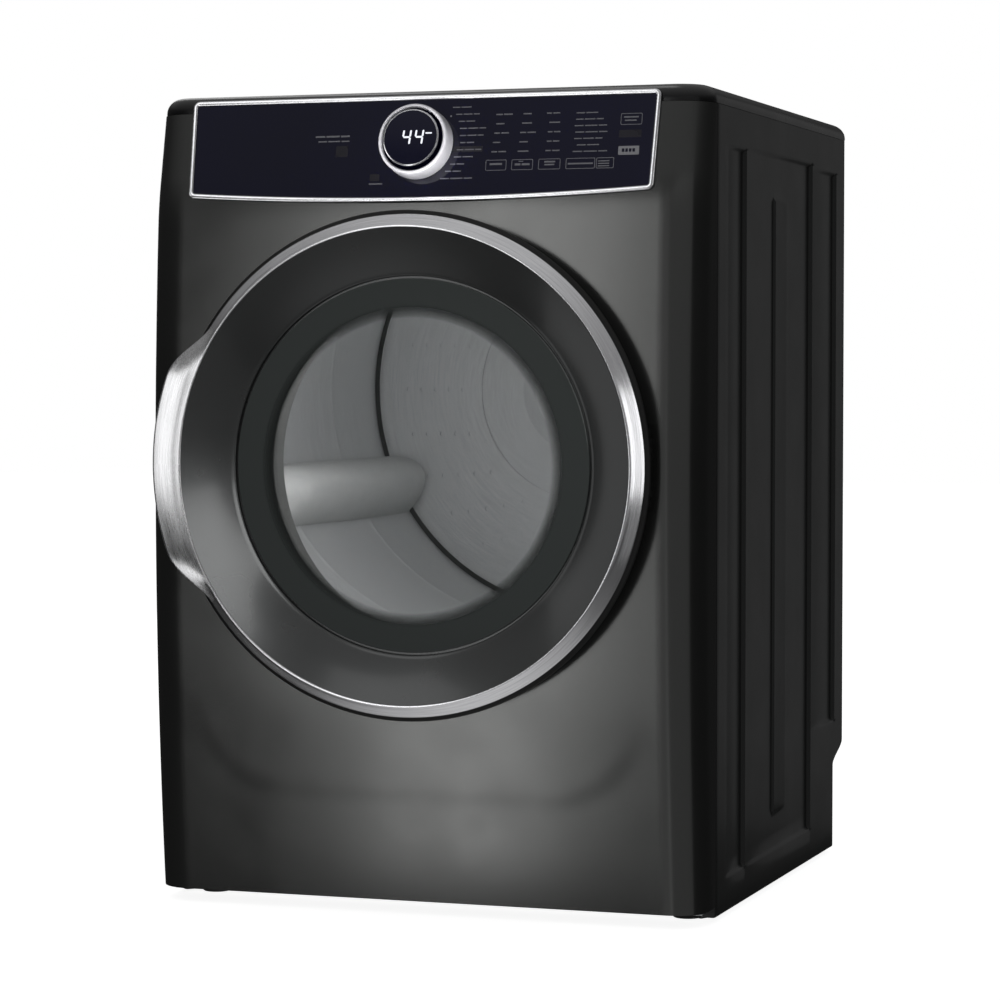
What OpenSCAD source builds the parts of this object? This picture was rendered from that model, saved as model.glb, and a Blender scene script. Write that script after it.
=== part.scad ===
// Front-loading clothes dryer with a round glass door, vented at the rear.
// Millimetres, +Z up, the front faces -Y. The origin is on the floor, under the
// middle of the whole machine. Inside the modules Y is measured from the seam
// between the front panel and the side panels, and seam_y puts that seam in place.

/* [Cabinet] */
// Width over the side panels
cabinet_w = 686; // [680:1:690]
// Height from the floor to the top panel
cabinet_h = 965; // [960:1:970]
// Depth of the side panels behind the front seam
side_d = 649; // [645:1:655]
// How far the middle of the front panel stands ahead of the seam
front_reach = 82; // [80:1:84]
// Thickness of the steel sheets
sheet = 1.5; // [1.2:0.1:1.8]
// Corner radius of the front panel in plan
corner_r = 45; // [40:1:46]
// Height of the seam under the top panel
top_seam_z = 944.5; // [942:0.5:946]
// Height of the front panel's lower edge
front_bottom_z = 16; // [14:1:20]
// Height of the side panels' lower edge
side_bottom_z = 6; // [5:1:8]
// Radius of the top panel's long edges
top_edge_r = 18; // [12:1:18]

/* [Front panel bow] */
// Radius of the upright bow of the front panel
bow_r = 4800; // [4600:50:5000]
// Height at which the bow is furthest forward
bow_z = 490; // [480:1:500]
// Height at which the bow turns into the tilted console
kink_z = 812; // [805:1:820]
// Radius of the turn between bow and console
kink_r = 400; // [380:5:420]
// Backward tilt of the console
console_tilt = 12; // [11:0.5:13]

/* [Console] */
// Half width of the console frame at its top
console_half_top = 290; // [284:1:292]
// Half width of the console frame at its bottom
console_half_bottom = 287; // [282:1:290]
// Height of the console frame along its tilt
console_len = 118.5; // [116:0.5:119]
// Height of the console frame's lower corners
console_z = 842.5; // [841:0.5:844]
// How far the frame's lower edge hangs down in the middle
console_bow = 9; // [6:1:10]
// Width of the metal frame
frame_w = 5.5; // [4:0.5:7]
// Outer radius of the selector knob
knob_r = 43; // [42:0.5:44]
// How far the selector knob stands ahead of the glass
knob_reach = 24.5; // [22:0.5:26]
// Radius of the display in the knob
lens_r = 34; // [33:0.5:34.5]

/* [Door] */
// Height of the door's centre
door_z = 528; // [526:1:530]
// Inner radius of the bright door ring
ring_in_r = 276; // [275:1:277]
// Outer radius of the bright door ring
ring_out_r = 290; // [289:1:291]
// Radius of the dark rim behind the ring
rim_r = 295; // [294:1:296]
// Outer radius of the handle
handle_r = 316; // [312:1:318]
// Half angle over which the handle has its full width
handle_full = 19; // [17:1:21]
// Half angle at which the handle has run out into the ring
handle_end = 34; // [32:1:36]
// Radius of the outer door glass
glass_r = 217; // [215:1:218]
// How far the bright ring stands ahead of the seam
door_reach = 126; // [125:1:127]
// Radius of the opening in the front panel
opening_r = 236; // [234:1:238]
// Radius of the pressed landing round the opening
landing_r = 270; // [268:1:271]

/* [Drum] */
// Outer radius of the drum
drum_r = 307.5; // [305:0.5:309]
// Height of the drum's axis
drum_z = 612; // [610:1:614]
// Front edge of the drum behind the seam
drum_y0 = 34; // [33:1:36]
// Rear end of the drum behind the seam
drum_y1 = 596; // [594:1:597]
// Number of lifting vanes
vanes = 3; // [3:1:3]
// Height of a lifting vane
vane_h = 62; // [50:1:66]

/* [Drive] */
// Sideways place of the motor shaft
motor_x = 120; // [118:1:122]
// Height of the motor shaft
motor_z = 150; // [148:1:152]
// Groove radius of the motor pulley
pulley_r = 10; // [9.5:0.5:10.5]
// Radius of the idler pulley
idler_r = 16; // [15:0.5:17]
// Radius of the blower wheel
wheel_r = 84; // [80:1:85]
// Blades on the blower wheel
blades = 36; // [24:1:40]

/* [Air outlet] */
// Outer radius of the exhaust pipe
pipe_r = 50.8; // [50:0.1:51]
// Height of the exhaust pipe's axis
pipe_z = 72; // [70:1:74]
// Rear end of the exhaust pipe behind the seam
pipe_y1 = 640; // [635:1:645]

/* [Feet] */
// Sideways place of the feet
foot_x = 300; // [296:1:304]
// Front feet behind the seam
foot_y0 = 34; // [30:1:40]
// Rear feet behind the seam
foot_y1 = 556; // [550:1:560]

/* [Hidden] */
$fn = 96;
fine = 1440;

half_w = cabinet_w / 2;
rear_proud = 9;
seam_y = (door_reach - side_d - rear_proud) / 2;
plan_depth = 100;
sweep_step = 0.04;
sweep_lap = 0.2;

landing_y = -72;
liner_back_y = -77;
seal_in_r = 239;
seal_out_r = 247;

kink_a = asin((kink_z - bow_z) / bow_r);
bow_cy = bow_r - front_reach;
kink_y = bow_cy - bow_r * cos(kink_a);
kink_cy = kink_y + kink_r * cos(kink_a);
kink_cz = kink_z - kink_r * sin(kink_a);
tilt_y = kink_cy - kink_r * cos(console_tilt);
tilt_z = kink_cz + kink_r * sin(console_tilt);

// Middle of the console's lower edge, on the front face of its glass
console_y = -71;
knob_up = 60;

hinge_x = 276;
hinge_y = -104;
hinge_pin_r = 4;
running_gap = 0.05;

step_y = 595;
step_z0 = 115;
step_z1 = 144;
// The rear panel steps a little higher than the side panels, clear of a duct on the pipe
duct_lift = 16;
pan_z = side_bottom_z + sheet;
pan_top = pan_z + 2;

// Rear terminal cover and the hole for the supply cord beside it
terminal_x = 245;
inlet = [262, 742];
inlet_r = 14.3;

belt_t = 2;
belt_w = 12;
belt_y = 306;
// Each wheel that the belt runs over: x, z, belt centre radius, +1 inside the loop or -1 outside
belt_wheels = [
    [0, drum_z, drum_r + 0.5 + belt_t / 2, 1],
    [25, 203, idler_r + 0.4 + belt_t / 2, -1],
    [motor_x, motor_z, pulley_r + 0.4 + belt_t / 2, 1]
];

// The idler arm turns on a stud; its tail holds an upright spring
idler_pivot = [70, 160];
idler_run = [belt_wheels[1][0], belt_wheels[1][1]] - idler_pivot;
tail_end = idler_pivot - 30 * idler_run / norm(idler_run);
spring_y = 283;
spring_z0 = 70;
spring_pin_r = 2.2;
spring_pin_gap = 3.2;

// ---------- shared shapes ----------

module at_seam() translate([0, seam_y, 0]) children();

module at_door() at_seam() translate([0, 0, door_z]) children();

module at_drum() at_seam() translate([0, 0, drum_z]) children();

module at_motor() at_seam() translate([motor_x, 0, motor_z]) children();

module at_console_local() translate([0, console_y, console_z]) rotate([-console_tilt, 0, 0]) children();

module at_console() at_seam() at_console_local() children();

// Solid rod along Y
module y_rod(r, y0, y1) translate([0, y0, 0]) rotate([-90, 0, 0]) cylinder(r = r, h = y1 - y0);

// Hollow rod along Y
module y_tube(r_out, r_in, y0, y1) {
    difference() {
        y_rod(r_out, y0, y1);
        y_rod(r_in, y0 - 1, y1 + 1);
    }
}

// Profile of [radius, y] points turned about the Y axis; angles count from +X towards +Z
module y_turned(profile, from = 0, sweep = 360) {
    rotate([90, 0, 0]) rotate([0, 0, from]) rotate_extrude(angle = sweep)
        polygon([for (p = profile) [p[0], -p[1]]]);
}

// Flat shape drawn in X and Z, given a thickness along Y from y0 to y1
module xz_plate(y0, y1) translate([0, y1, 0]) rotate([90, 0, 0]) linear_extrude(height = y1 - y0) children();

// Flat shape drawn in Y and Z, given a thickness along X from x0 to x1
module yz_plate(x0, x1) translate([x0, 0, 0]) rotate([90, 0, 90]) linear_extrude(height = x1 - x0) children();

module box(low, high) translate(low) cube(high - low);

module mirrored_x() {
    children();
    mirror([1, 0, 0]) children();
}

module rounded_square(low, high, r) {
    translate([low[0] + r, low[1]]) square([high[0] - low[0] - 2 * r, high[1] - low[1]]);
    translate([low[0], low[1] + r]) square([high[0] - low[0], high[1] - low[1] - 2 * r]);
    for (x = [low[0] + r, high[0] - r])
        for (y = [low[1] + r, high[1] - r])
            translate([x, y]) circle(r = r);
}

function arc_points(centre, r, from, to, steps) =
    [for (i = [0:steps])
        let (a = from + (to - from) * i / steps)
            centre + r * [cos(a), sin(a)]
    ];

// Triangles that skin a stack of rings, each with n points, and close both ends
function skin_faces(rings, n) = concat(
    [[for (k = [n - 1:-1:0]) k]],
    [for (i = [0:rings - 2]) for (k = [0:n - 1])
        let (a = i * n + k, b = i * n + (k + 1) % n)
        each [[a, b, b + n], [a, b + n, a + n]]],
    [[for (k = [0:n - 1]) (rings - 1) * n + k]]
);

// ---------- cabinet ----------

// Plan of the front panel with its face at x = 0, looking along +x; skin insets the outline
module plan_solid(skin, depth) {
    straight = half_w - corner_r;
    translate([-depth, skin - half_w]) square([depth - corner_r, 2 * (half_w - skin)]);
    translate([-depth, -straight]) square([depth - skin, 2 * straight]);
    for (side = [-1, 1])
        translate([-corner_r, side * straight]) circle(r = corner_r - skin, $fn = 96);
}

// Section of the front panel: the bent sheet, or everything behind its face. Each stretch of
// the sweep is a hair smaller than the one below it and a little thicker inwards.
module plan_section(whole, stretch) {
    difference() {
        plan_solid(stretch * sweep_step, plan_depth);
        if (!whole) plan_solid(sheet + stretch * sweep_lap, plan_depth + 1);
    }
}

// The plan section carried up the bowed front, round the turn and up the tilted console.
// Each stretch starts a little inside the one below, so they fuse.
module front_sweep(whole) {
    low_a = asin((bow_z - front_bottom_z + 4) / bow_r);
    lap_a = 0.2;
    lap = 1;
    translate([0, bow_cy, bow_z]) rotate([90, 0, -90])
        rotate_extrude(angle = low_a + kink_a, start = -low_a, $fn = fine)
            translate([bow_r, 0]) plan_section(whole, 0);
    translate([0, kink_cy, kink_cz]) rotate([90, 0, -90])
        rotate_extrude(angle = console_tilt - kink_a + lap_a, start = kink_a - lap_a, $fn = fine)
            translate([kink_r, 0]) plan_section(whole, 1);
    translate([0, tilt_y, tilt_z]) rotate([-console_tilt, 0, 0]) translate([0, 0, -lap]) rotate([0, 0, -90])
        linear_extrude(height = 90) plan_section(whole, 2);
}

module front_limits() box([-400, -140, front_bottom_z], [400, -0.25, top_seam_z - 0.5]);

module front_panel() {
    hole_y = [landing_y - 3, landing_y + 12];
    color([0.33, 0.34, 0.34]) at_seam() {
        difference() {
            union() {
                difference() {
                    intersection() {
                        front_sweep(false);
                        front_limits();
                    }
                    translate([0, 0, door_z]) y_rod(landing_r, -140, -20);
                    console_cut(0.3);
                }
                intersection() {
                    translate([0, 0, door_z]) y_tube(landing_r, landing_r - sheet, -100, landing_y + sheet);
                    front_sweep(true);
                }
                translate([0, 0, door_z]) y_tube(landing_r - sheet, opening_r, landing_y, landing_y + sheet);
                translate([0, 0, door_z])
                    y_tube(opening_r + sheet, opening_r, landing_y + sheet, landing_y + 10);
                box([-300, -57, front_bottom_z], [300, -30, front_bottom_z + sheet]);
                mirrored_x() box([half_w - 16, -sheet, 60], [half_w - sheet + 0.2, 0.25, 930]);
            }
            box([-262, hole_y[0], door_z - 15], [-249, hole_y[1], door_z + 15]);
            translate([-207, 0, door_z - 145]) y_rod(4.4, hole_y[0], hole_y[1]);
        }
    }
}

// Rear edge of the cabinet, stepping forward near the floor; lift raises the step
function rear_edge(lift) =
    [for (i = [0:10]) [
        step_y + (side_d - step_y) * (1 - cos(18 * i)) / 2,
        step_z0 + lift + (step_z1 - step_z0) * i / 10
    ]];

// Pressed ramps of the side panel, which sink towards the rear: front y, rear y, lower z, upper z
side_ramps = [
    [44, 133, 44, 901],
    [133, 466, 44, 904],
    [466, 601, 171, 899]
];
// Stiffening bead in the middle ramp, flush at its front
side_bead = [274, 345, 89, 851];
ramp_depth = 5;
ramp_bend = 1.7;

// Depth of a ramp at a share of its length
function ramp_fall(share) = ramp_depth * (1 - pow(1 - share, ramp_bend));

// Depth of the middle ramp at a place along the panel
function middle_fall(y) = ramp_fall((y - side_ramps[1][0]) / (side_ramps[1][1] - side_ramps[1][0]));

// Space outside a ramp's face; skin moves the face inwards and grow moves the ends apart
module ramp_wedge(ramp, skin, grow) {
    steps = 6;
    translate([0, 0, ramp[2] - grow]) linear_extrude(height = ramp[3] - ramp[2] + 2 * grow)
        polygon(concat(
            [[half_w + 1, ramp[0]]],
            [for (i = [0:steps]) [
                half_w - ramp_fall(i / steps) - skin,
                ramp[0] + (ramp[1] - ramp[0]) * i / steps + (i == steps ? grow : 0)
            ]],
            [[half_w + 1, ramp[1] + grow]]
        ));
}

// Wedge that fills the middle ramp to the panel's face and runs out towards the rear
module bead_wedge(skin) {
    rear_fall = middle_fall(side_bead[1]);
    translate([0, 0, side_bead[2] + skin]) linear_extrude(height = side_bead[3] - side_bead[2] - 2 * skin)
        polygon([
            [half_w - skin, side_bead[0] + skin],
            [half_w - rear_fall - skin, side_bead[1]],
            [half_w - rear_fall - sheet - 1, side_bead[1]],
            [half_w - rear_fall - sheet - 1, side_bead[0] + skin]
        ]);
}

module side_sheet() {
    outline = concat([[0.25, side_bottom_z], [step_y, side_bottom_z]], rear_edge(0),
        [[side_d, top_seam_z - 0.5], [0.25, top_seam_z - 0.5]]);
    difference() {
        union() {
            yz_plate(half_w - sheet, half_w) polygon(outline);
            for (ramp = side_ramps)
                intersection() {
                    ramp_wedge(ramp, sheet, sheet);
                    box([half_w - 20, 0, 0], [half_w - 0.1, side_d, cabinet_h]);
                }
            box([half_w - 16, 0.25, side_bottom_z], [half_w - sheet, 0.25 + sheet, top_seam_z - 0.5]);
            box([half_w - 16, side_d - 2 * sheet, step_z1 + duct_lift + 4],
                [half_w - sheet, side_d - sheet, top_seam_z - 0.5]);
            box([half_w - 16, 0.25, side_bottom_z], [half_w - sheet, step_y, side_bottom_z + sheet]);
        }
        difference() {
            for (ramp = side_ramps) ramp_wedge(ramp, 0, 0);
            bead_wedge(0);
        }
        bead_wedge(sheet);
    }
}

module side_panel_left() color([0.13, 0.14, 0.14]) at_seam() mirror([1, 0, 0]) side_sheet();

module side_panel_right() color([0.13, 0.14, 0.14]) at_seam() side_sheet();

// Solid of the lid, shrunk by skin on all outer faces
module lid_solid(skin) {
    front_y = -44.5 + skin;
    top_z = cabinet_h - skin;
    r = top_edge_r - skin;
    intersection() {
        translate([0, 0, top_seam_z - 1]) linear_extrude(height = 40) {
            straight = half_w - corner_r;
            translate([-straight, front_y]) square([2 * straight, side_d - front_y]);
            translate([skin - half_w, front_y + corner_r - skin])
                square([2 * (half_w - skin), side_d - front_y - corner_r + skin]);
            for (side = [-1, 1])
                translate([side * straight, front_y + corner_r - skin]) circle(r = corner_r - skin);
        }
        xz_plate(-60, side_d + 10) rounded_square([skin - half_w, top_z - 80], [half_w - skin, top_z], r);
        yz_plate(-400, 400) rounded_square([front_y, top_z - 80], [side_d - skin, top_z], r);
    }
}

module top_panel() {
    color([0.12, 0.12, 0.13]) at_seam() difference() {
        union() {
            difference() {
                intersection() {
                    lid_solid(0);
                    box([-400, -60, top_seam_z], [400, side_d, cabinet_h]);
                }
                difference() {
                    lid_solid(2);
                    box([-400, -60, cabinet_h - 8], [400, 20, cabinet_h]);
                }
            }
            box([-320, 4, 926], [320, 6, cabinet_h - 1]);
            box([-320, 604, 930], [320, 606, cabinet_h - 1]);
        }
        console_cut(0.5);
    }
}

module rear_panel() {
    z_top = top_seam_z - 0.5;
    edge = rear_edge(duct_lift);
    inner = half_w - sheet - 0.3;
    color([0.16, 0.17, 0.17]) at_seam() difference() {
        union() {
            yz_plate(-inner, inner) polygon(concat(
                [[step_y, pan_z]], edge, [[side_d, z_top], [side_d - sheet, z_top]],
                [for (i = [10:-1:0]) edge[i] - [sheet, -0.4]],
                [[step_y - sheet, pan_z]]
            ));
            box([-320, side_d - 14, z_top - sheet], [320, side_d - sheet, z_top]);
        }
        translate([0, 0, pipe_z]) y_rod(pipe_r + 1.5, step_y - 10, step_y + 10);
        box([terminal_x - 65, side_d - 10, 770], [terminal_x + 65, side_d + 5, 880]);
        translate([inlet[0], 0, inlet[1]]) y_rod(inlet_r, side_d - 10, side_d + 5);
        for (row = [0:9])
            for (side = [-1, 1])
                translate([side * 150, 0, 250 + 24 * row])
                    box([-70, side_d - 10, 0], [70, side_d + 5, 6]);
    }
}

module base_pan() {
    w = half_w - sheet - 0.6;
    color([0.3, 0.3, 0.31]) at_seam() difference() {
        union() {
            box([-w, 1.75, pan_z], [w, step_y - 3, pan_top]);
            box([-w, 1.75, pan_z], [w, 3.75, 42]);
            mirrored_x() {
                box([pipe_r + 4, step_y - 5, pan_z], [w, step_y - 3, 42]);
                box([w - 2, 1.75, pan_z], [w, step_y - 3, 42]);
            }
            for (x = [-foot_x, foot_x])
                for (y = [foot_y0, foot_y1])
                    translate([x, y, pan_z]) cylinder(r = 13, h = 24);
        }
        for (x = [-foot_x, foot_x])
            for (y = [foot_y0, foot_y1])
                translate([x, y, 0]) cylinder(r = 5 + running_gap, h = 60);
    }
}

// ---------- console ----------

// Room for the console in the panels round it
module console_cut(gap) at_console_local() xz_plate(-40, 40) polygon(console_outline(-gap));

// Barrel-shaped outline of the console, inset on all sides
function console_outline(inset) =
    let (
        r = max(8 - inset, 2),
        xb = console_half_bottom - inset - r,
        xt = console_half_top - inset - r,
        zt = console_len - inset,
        low = inset
    )
    concat(
        [for (i = [0:24]) let (x = -xb + 2 * xb * i / 24) [x, low - console_bow * (1 - pow(x / xb, 2))]],
        arc_points([xb, low + r], r, -80, 0, 5),
        arc_points([xt, zt - r], r, 0, 90, 6),
        arc_points([-xt, zt - r], r, 90, 180, 6),
        arc_points([-xb, low + r], r, 180, 260, 5)
    );

module console_fascia() {
    color([0.06, 0.05, 0.10]) at_console() difference() {
        xz_plate(0, 4) polygon(console_outline(frame_w));
        translate([0, 0, knob_up]) y_rod(28, -1, 6);
    }
}

module console_frame() {
    color([0.8, 0.8, 0.83]) at_console() difference() {
        xz_plate(-2, 6) polygon(console_outline(0));
        xz_plate(-3, 4) polygon(console_outline(frame_w));
        xz_plate(3, 7) polygon(console_outline(frame_w + 4));
    }
}

// Moulded tray behind the fascia, open towards it
module console_back() {
    color([0.2, 0.2, 0.21]) at_console() difference() {
        union() {
            xz_plate(6, 36) polygon(console_outline(3));
            for (x = [-200, 200]) box([x - 14, 36, 50], [x + 14, 40, 80]);
        }
        xz_plate(5, 34) polygon(console_outline(5));
    }
}

module control_board() {
    color([0.15, 0.35, 0.2]) at_console() difference() {
        union() {
            box([-250, 9, 24], [250, 11, 98]);
            for (x = [-236, -90, 90, 236])
                for (z = [30, 92])
                    translate([x, 0, z]) y_rod(3, 4, 9);
            for (i = [0:4]) box([110 + 26 * i, 11, 40], [126 + 26 * i, 22, 60]);
            box([-200, 11, 40], [-150, 30, 84]);
            for (i = [0:3]) translate([-120 + 16 * i, 0, 50]) y_rod(6, 11, 28);
        }
        translate([0, 0, knob_up]) y_rod(20, 8, 12);
    }
}

// Fixed hub in the middle of the knob, with the round display on its end
module display_lens() {
    lens_y = -knob_reach - 4;
    color([0.03, 0.03, 0.04]) at_console() translate([0, 0, knob_up]) {
        y_rod(27.7, 0, 4);
        y_rod(30, lens_y + 4, 0);
        y_turned([
            [0, lens_y], [lens_r - 1, lens_y], [lens_r, lens_y + 0.8], [lens_r, lens_y + 4], [0, lens_y + 4]
        ]);
    }
}

module selector_knob() {
    grip = 60;
    color([0.78, 0.78, 0.8]) at_console() translate([0, 0, knob_up]) difference() {
        y_turned([
            [30 + running_gap, -0.6], [knob_r - 0.5, -0.6], [knob_r, -1.2],
            [knob_r - 0.8, 3 - knob_reach], [knob_r - 1.8, 0.7 - knob_reach], [knob_r - 3.4, -knob_reach],
            [lens_r + 4.4, 0.6 - knob_reach], [lens_r + 3.8, 2 - knob_reach],
            [lens_r + 1.4, 7 - knob_reach], [30 + running_gap, 7 - knob_reach]
        ]);
        for (i = [0:grip - 1])
            rotate([0, i * 360 / grip, 0]) translate([knob_r + 0.3, 0, 0]) y_rod(0.8, -4.4, 0);
    }
}

// ---------- front bulkhead and throat ----------

module front_bulkhead() {
    color([0.55, 0.56, 0.57]) at_seam() {
        difference() {
            box([sheet - half_w, 20, 286], [half_w - sheet, 22, 926]);
            translate([0, 0, door_z]) y_rod(214.5, 10, 30);
        }
        difference() {
            translate([0, 0, drum_z]) y_tube(296, 294, 22, 46);
            translate([0, 0, door_z]) y_rod(214.5, 10, 60);
        }
        box([-334, 1.75, 924], [334, 20, 926]);
        mirrored_x() box([half_w - sheet - 2, 1.75, 286], [half_w - sheet, 20, 926]);
        intersection() {
            at_console_local() for (x = [-200, 200]) {
                box([x - 14, 40, 50], [x + 14, 42, 80]);
                box([x - 14, 40, 50], [x - 12, 95, 80]);
            }
            box([-300, -60, 800], [300, 21, 926]);
        }
    }
}

module throat_collar() {
    color([0.72, 0.73, 0.74]) at_seam() difference() {
        translate([0, 0, door_z]) y_turned([
            [230, -62], [238, -62], [238, -60], [232.5, -60],
            [214.5, 19.8], [214.5, 40], [212.5, 40], [212.5, 19.4]
        ]);
        box([-104, -6, door_z - 240], [104, 14, door_z - 170]);
    }
}

// Angles at which the glides carry the drum's top edge
glide_places = [66, 90, 114];

module drum_felt() {
    color([0.42, 0.4, 0.38]) at_drum() difference() {
        y_tube(304.8, 296, 36, 46);
        for (a = glide_places) rotate([0, 90 - a, 0]) box([-16, 30, 280], [16, 50, 310]);
        translate([0, 0, door_z - drum_z]) y_rod(214.7, 30, 60);
    }
}

module drum_glides() {
    color([0.9, 0.9, 0.86]) at_drum() for (a = glide_places)
        rotate([0, 90 - a, 0]) intersection() {
            y_tube(305.7, 296, 38, 46);
            box([-14, 30, 280], [14, 50, 310]);
        }
}

module drum_lamp() {
    color([0.95, 0.93, 0.85]) at_seam() translate([96, 0, door_z + 236]) {
        box([-16, 22, -10], [16, 33, 10]);
        translate([0, 43, 0]) sphere(r = 8);
        y_rod(6, 33, 40);
    }
}

module rear_bulkhead() {
    // The lower step stands between the side panels' rear ramps
    between = half_w - ramp_depth - sheet;
    color([0.5, 0.51, 0.52]) at_seam() difference() {
        union() {
            box([sheet - half_w, 604, 300], [half_w - sheet, 606, 930]);
            box([-between, 590, 42], [between, 592, 300]);
            box([-between, 592, 298], [between, 606, 300]);
            translate([0, 0, drum_z]) y_rod(34, 606, 622);
        }
        translate([0, 0, drum_z]) y_rod(20, 600, 630);
        translate([0, 0, pipe_z]) y_rod(pipe_r + 1, 580, 600);
        for (ring = [0:2])
            for (i = [0:17 + 6 * ring])
                let (a = 360 * i / (18 + 6 * ring), r = 150 + 36 * ring)
                    translate([r * cos(a), 0, drum_z + r * sin(a)]) y_rod(5, 600, 610);
    }
}

module rear_bearing() {
    color([0.72, 0.6, 0.35]) at_drum() y_tube(20, 12 + running_gap, 600, 624);
}

// ---------- drum ----------

module drum_shell() {
    r = drum_r;
    wall = 1.5;
    color([0.72, 0.73, 0.74]) at_drum() y_turned([
        [r - wall - 0.1, drum_y0], [r - wall + 1, drum_y0 - 1], [r, drum_y0],
        [r, 180], [r - 1.5, 184], [r - 1.5, 190], [r, 194],
        [r, 420], [r - 1.5, 424], [r - 1.5, 430], [r, 434],
        [r, drum_y1 - 12], [r - wall, drum_y1 - 12],
        [r - wall, 434], [r - wall - 1.5, 430], [r - wall - 1.5, 424], [r - wall, 420],
        [r - wall, 194], [r - wall - 1.5, 190], [r - wall - 1.5, 184], [r - wall, 180],
        [r - wall, drum_y0 + 1]
    ]);
}

module drum_back() {
    r = drum_r;
    color([0.68, 0.69, 0.7]) at_drum() difference() {
        y_turned([
            [0, 584], [70, 584], [90, 592], [150, 594], [150, 590], [r - 9, 590], [r - 7, 586],
            [r - 1.5, 584.1], [r, 584.1], [r, drum_y1], [r - 7, drum_y1], [r - 9, 592], [260, 592],
            [152, 592], [152, 596], [90, 595], [70, 587], [0, 587]
        ]);
        for (ring = [0:4])
            for (i = [0:17 + 2 * ring])
                let (a = 360 * i / (18 + 2 * ring), d = 176 + 20 * ring)
                    translate([d * cos(a), 0, d * sin(a)]) y_rod(3.2, 580, 600);
    }
}

// One lifting vane: a rounded hump along the drum, its top edge sloping down at the front
module vane() {
    base = drum_r - 1.5;
    intersection() {
        y_rod(base - 2, 66, 578);
        hull() {
            for (y = [72, 574])
                translate([-base + 4, y, 0]) rotate([-90, 0, 0]) cylinder(r = 44, h = 2, $fn = 32);
            translate([-base + vane_h - 14, 150, 0]) rotate([-90, 0, 0]) cylinder(r = 14, h = 420, $fn = 32);
        }
    }
}

module drum_vanes() {
    color([0.78, 0.78, 0.77]) at_drum()
        for (i = [0:vanes - 1]) rotate([0, -26 + 360 / vanes * i, 0]) vane();
}

module drum_axle() {
    color([0.6, 0.6, 0.62]) at_drum() {
        y_rod(60, 587, 590);
        y_rod(12, 590, 626);
    }
}

// ---------- drive ----------

function run_angle(a, b) =
    let (d = [b[0] - a[0], b[1] - a[1]])
    atan2(d[1], d[0]) - asin((b[3] * b[2] - a[3] * a[2]) / norm(d));

// Outline of the belt loop; side is +1 for its outer face and -1 for its inner face
function belt_outline(side) =
    let (count = len(belt_wheels), steps = [120, 8, 16])
    [for (i = [0:count - 1])
        let (
            here = belt_wheels[i],
            inside = here[3],
            leave = run_angle(here, belt_wheels[(i + 1) % count]),
            arrive = run_angle(belt_wheels[(i + count - 1) % count], here),
            turn = (inside * (leave - arrive) + 720) % 360,
            r = here[2] + side * inside * belt_t / 2
        )
        for (k = [0:steps[i]])
            let (a = arrive + inside * turn * k / steps[i])
                [here[0], here[1]] + inside * r * [sin(a), -cos(a)]];

module drive_belt() {
    color([0.08, 0.08, 0.08]) at_seam() difference() {
        xz_plate(belt_y - belt_w / 2, belt_y + belt_w / 2) polygon(belt_outline(1));
        xz_plate(belt_y - belt_w, belt_y + belt_w) polygon(belt_outline(-1));
    }
}

module motor_housing() {
    slots = 12;
    color([0.45, 0.46, 0.48]) at_motor() difference() {
        y_turned([
            [0, 103], [22, 103], [22, 110], [34, 112], [52, 120], [60, 132], [60, 228], [52, 240], [34, 248],
            [22, 250], [22, 256], [0, 256]
        ]);
        y_rod(7.5, 100, 260);
        for (i = [0:slots - 1])
            rotate([0, i * 360 / slots, 0]) box([50, 136, -4], [64, 150, 4]);
        for (i = [0:slots - 1])
            rotate([0, i * 360 / slots, 0]) box([50, 210, -4], [64, 224, 4]);
    }
}

module motor_bracket() {
    pin_z = spring_z0 - spring_pin_gap;
    color([0.35, 0.36, 0.37]) at_seam() difference() {
        union() {
            box([60, 100, pan_top], [190, 262, pan_top + 3]);
            for (y = [100, 256]) {
                box([66, y, pan_top], [174, y + 3, 106]);
                translate([motor_x, 0, motor_z]) y_rod(54, y, y + 3);
            }
            box([56, 256, 100], [100, 259, 172]);
            translate([idler_pivot[0], 0, idler_pivot[1]]) y_rod(5, 259, 298);
            box([tail_end[0] - 8, 262, pan_top], [tail_end[0] + 8, spring_y - 8, pan_top + 3]);
            box([tail_end[0] - 8, spring_y - 10, pan_top], [tail_end[0] + 8, spring_y - 8, pin_z + 8]);
            translate([tail_end[0], 0, pin_z]) y_rod(spring_pin_r, spring_y - 9, spring_y + 4);
        }
        translate([motor_x, 0, motor_z]) y_rod(14, 90, 270);
    }
}

module motor_shaft() {
    color([0.65, 0.65, 0.67]) at_motor() y_rod(7.4, 40, 318);
}

module motor_pulley() {
    color([0.5, 0.5, 0.52]) at_motor() y_turned([
        [7.4, 297], [13, 297], [13, 298.6], [pulley_r, 299.4],
        [pulley_r, 312.6], [13, 313.4], [13, 315], [7.4, 315]
    ]);
}

module blower_wheel() {
    color([0.85, 0.85, 0.82]) at_motor() {
        y_tube(wheel_r, 7.4, 88, 90);
        y_tube(14, 7.4, 60, 88);
        y_tube(wheel_r, wheel_r - 14, 38, 40);
        for (i = [0:blades - 1])
            rotate([0, i * 360 / blades, 0]) translate([wheel_r - 8, 0, 0]) rotate([0, 28, 0])
                box([-7, 39.5, -0.8], [7, 88.5, 0.8]);
    }
}

// Outline of the blower volute and its collector, drawn in X and Z
module volute_outline(skin) {
    translate([motor_x, motor_z]) circle(r = 100 - skin);
    translate([-58 + skin, pan_top + skin]) square([motor_x + 58 - skin, 134 - pan_top - 2 * skin]);
    translate([motor_x - 60, 50 + skin]) square([60, 90]);
}

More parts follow.
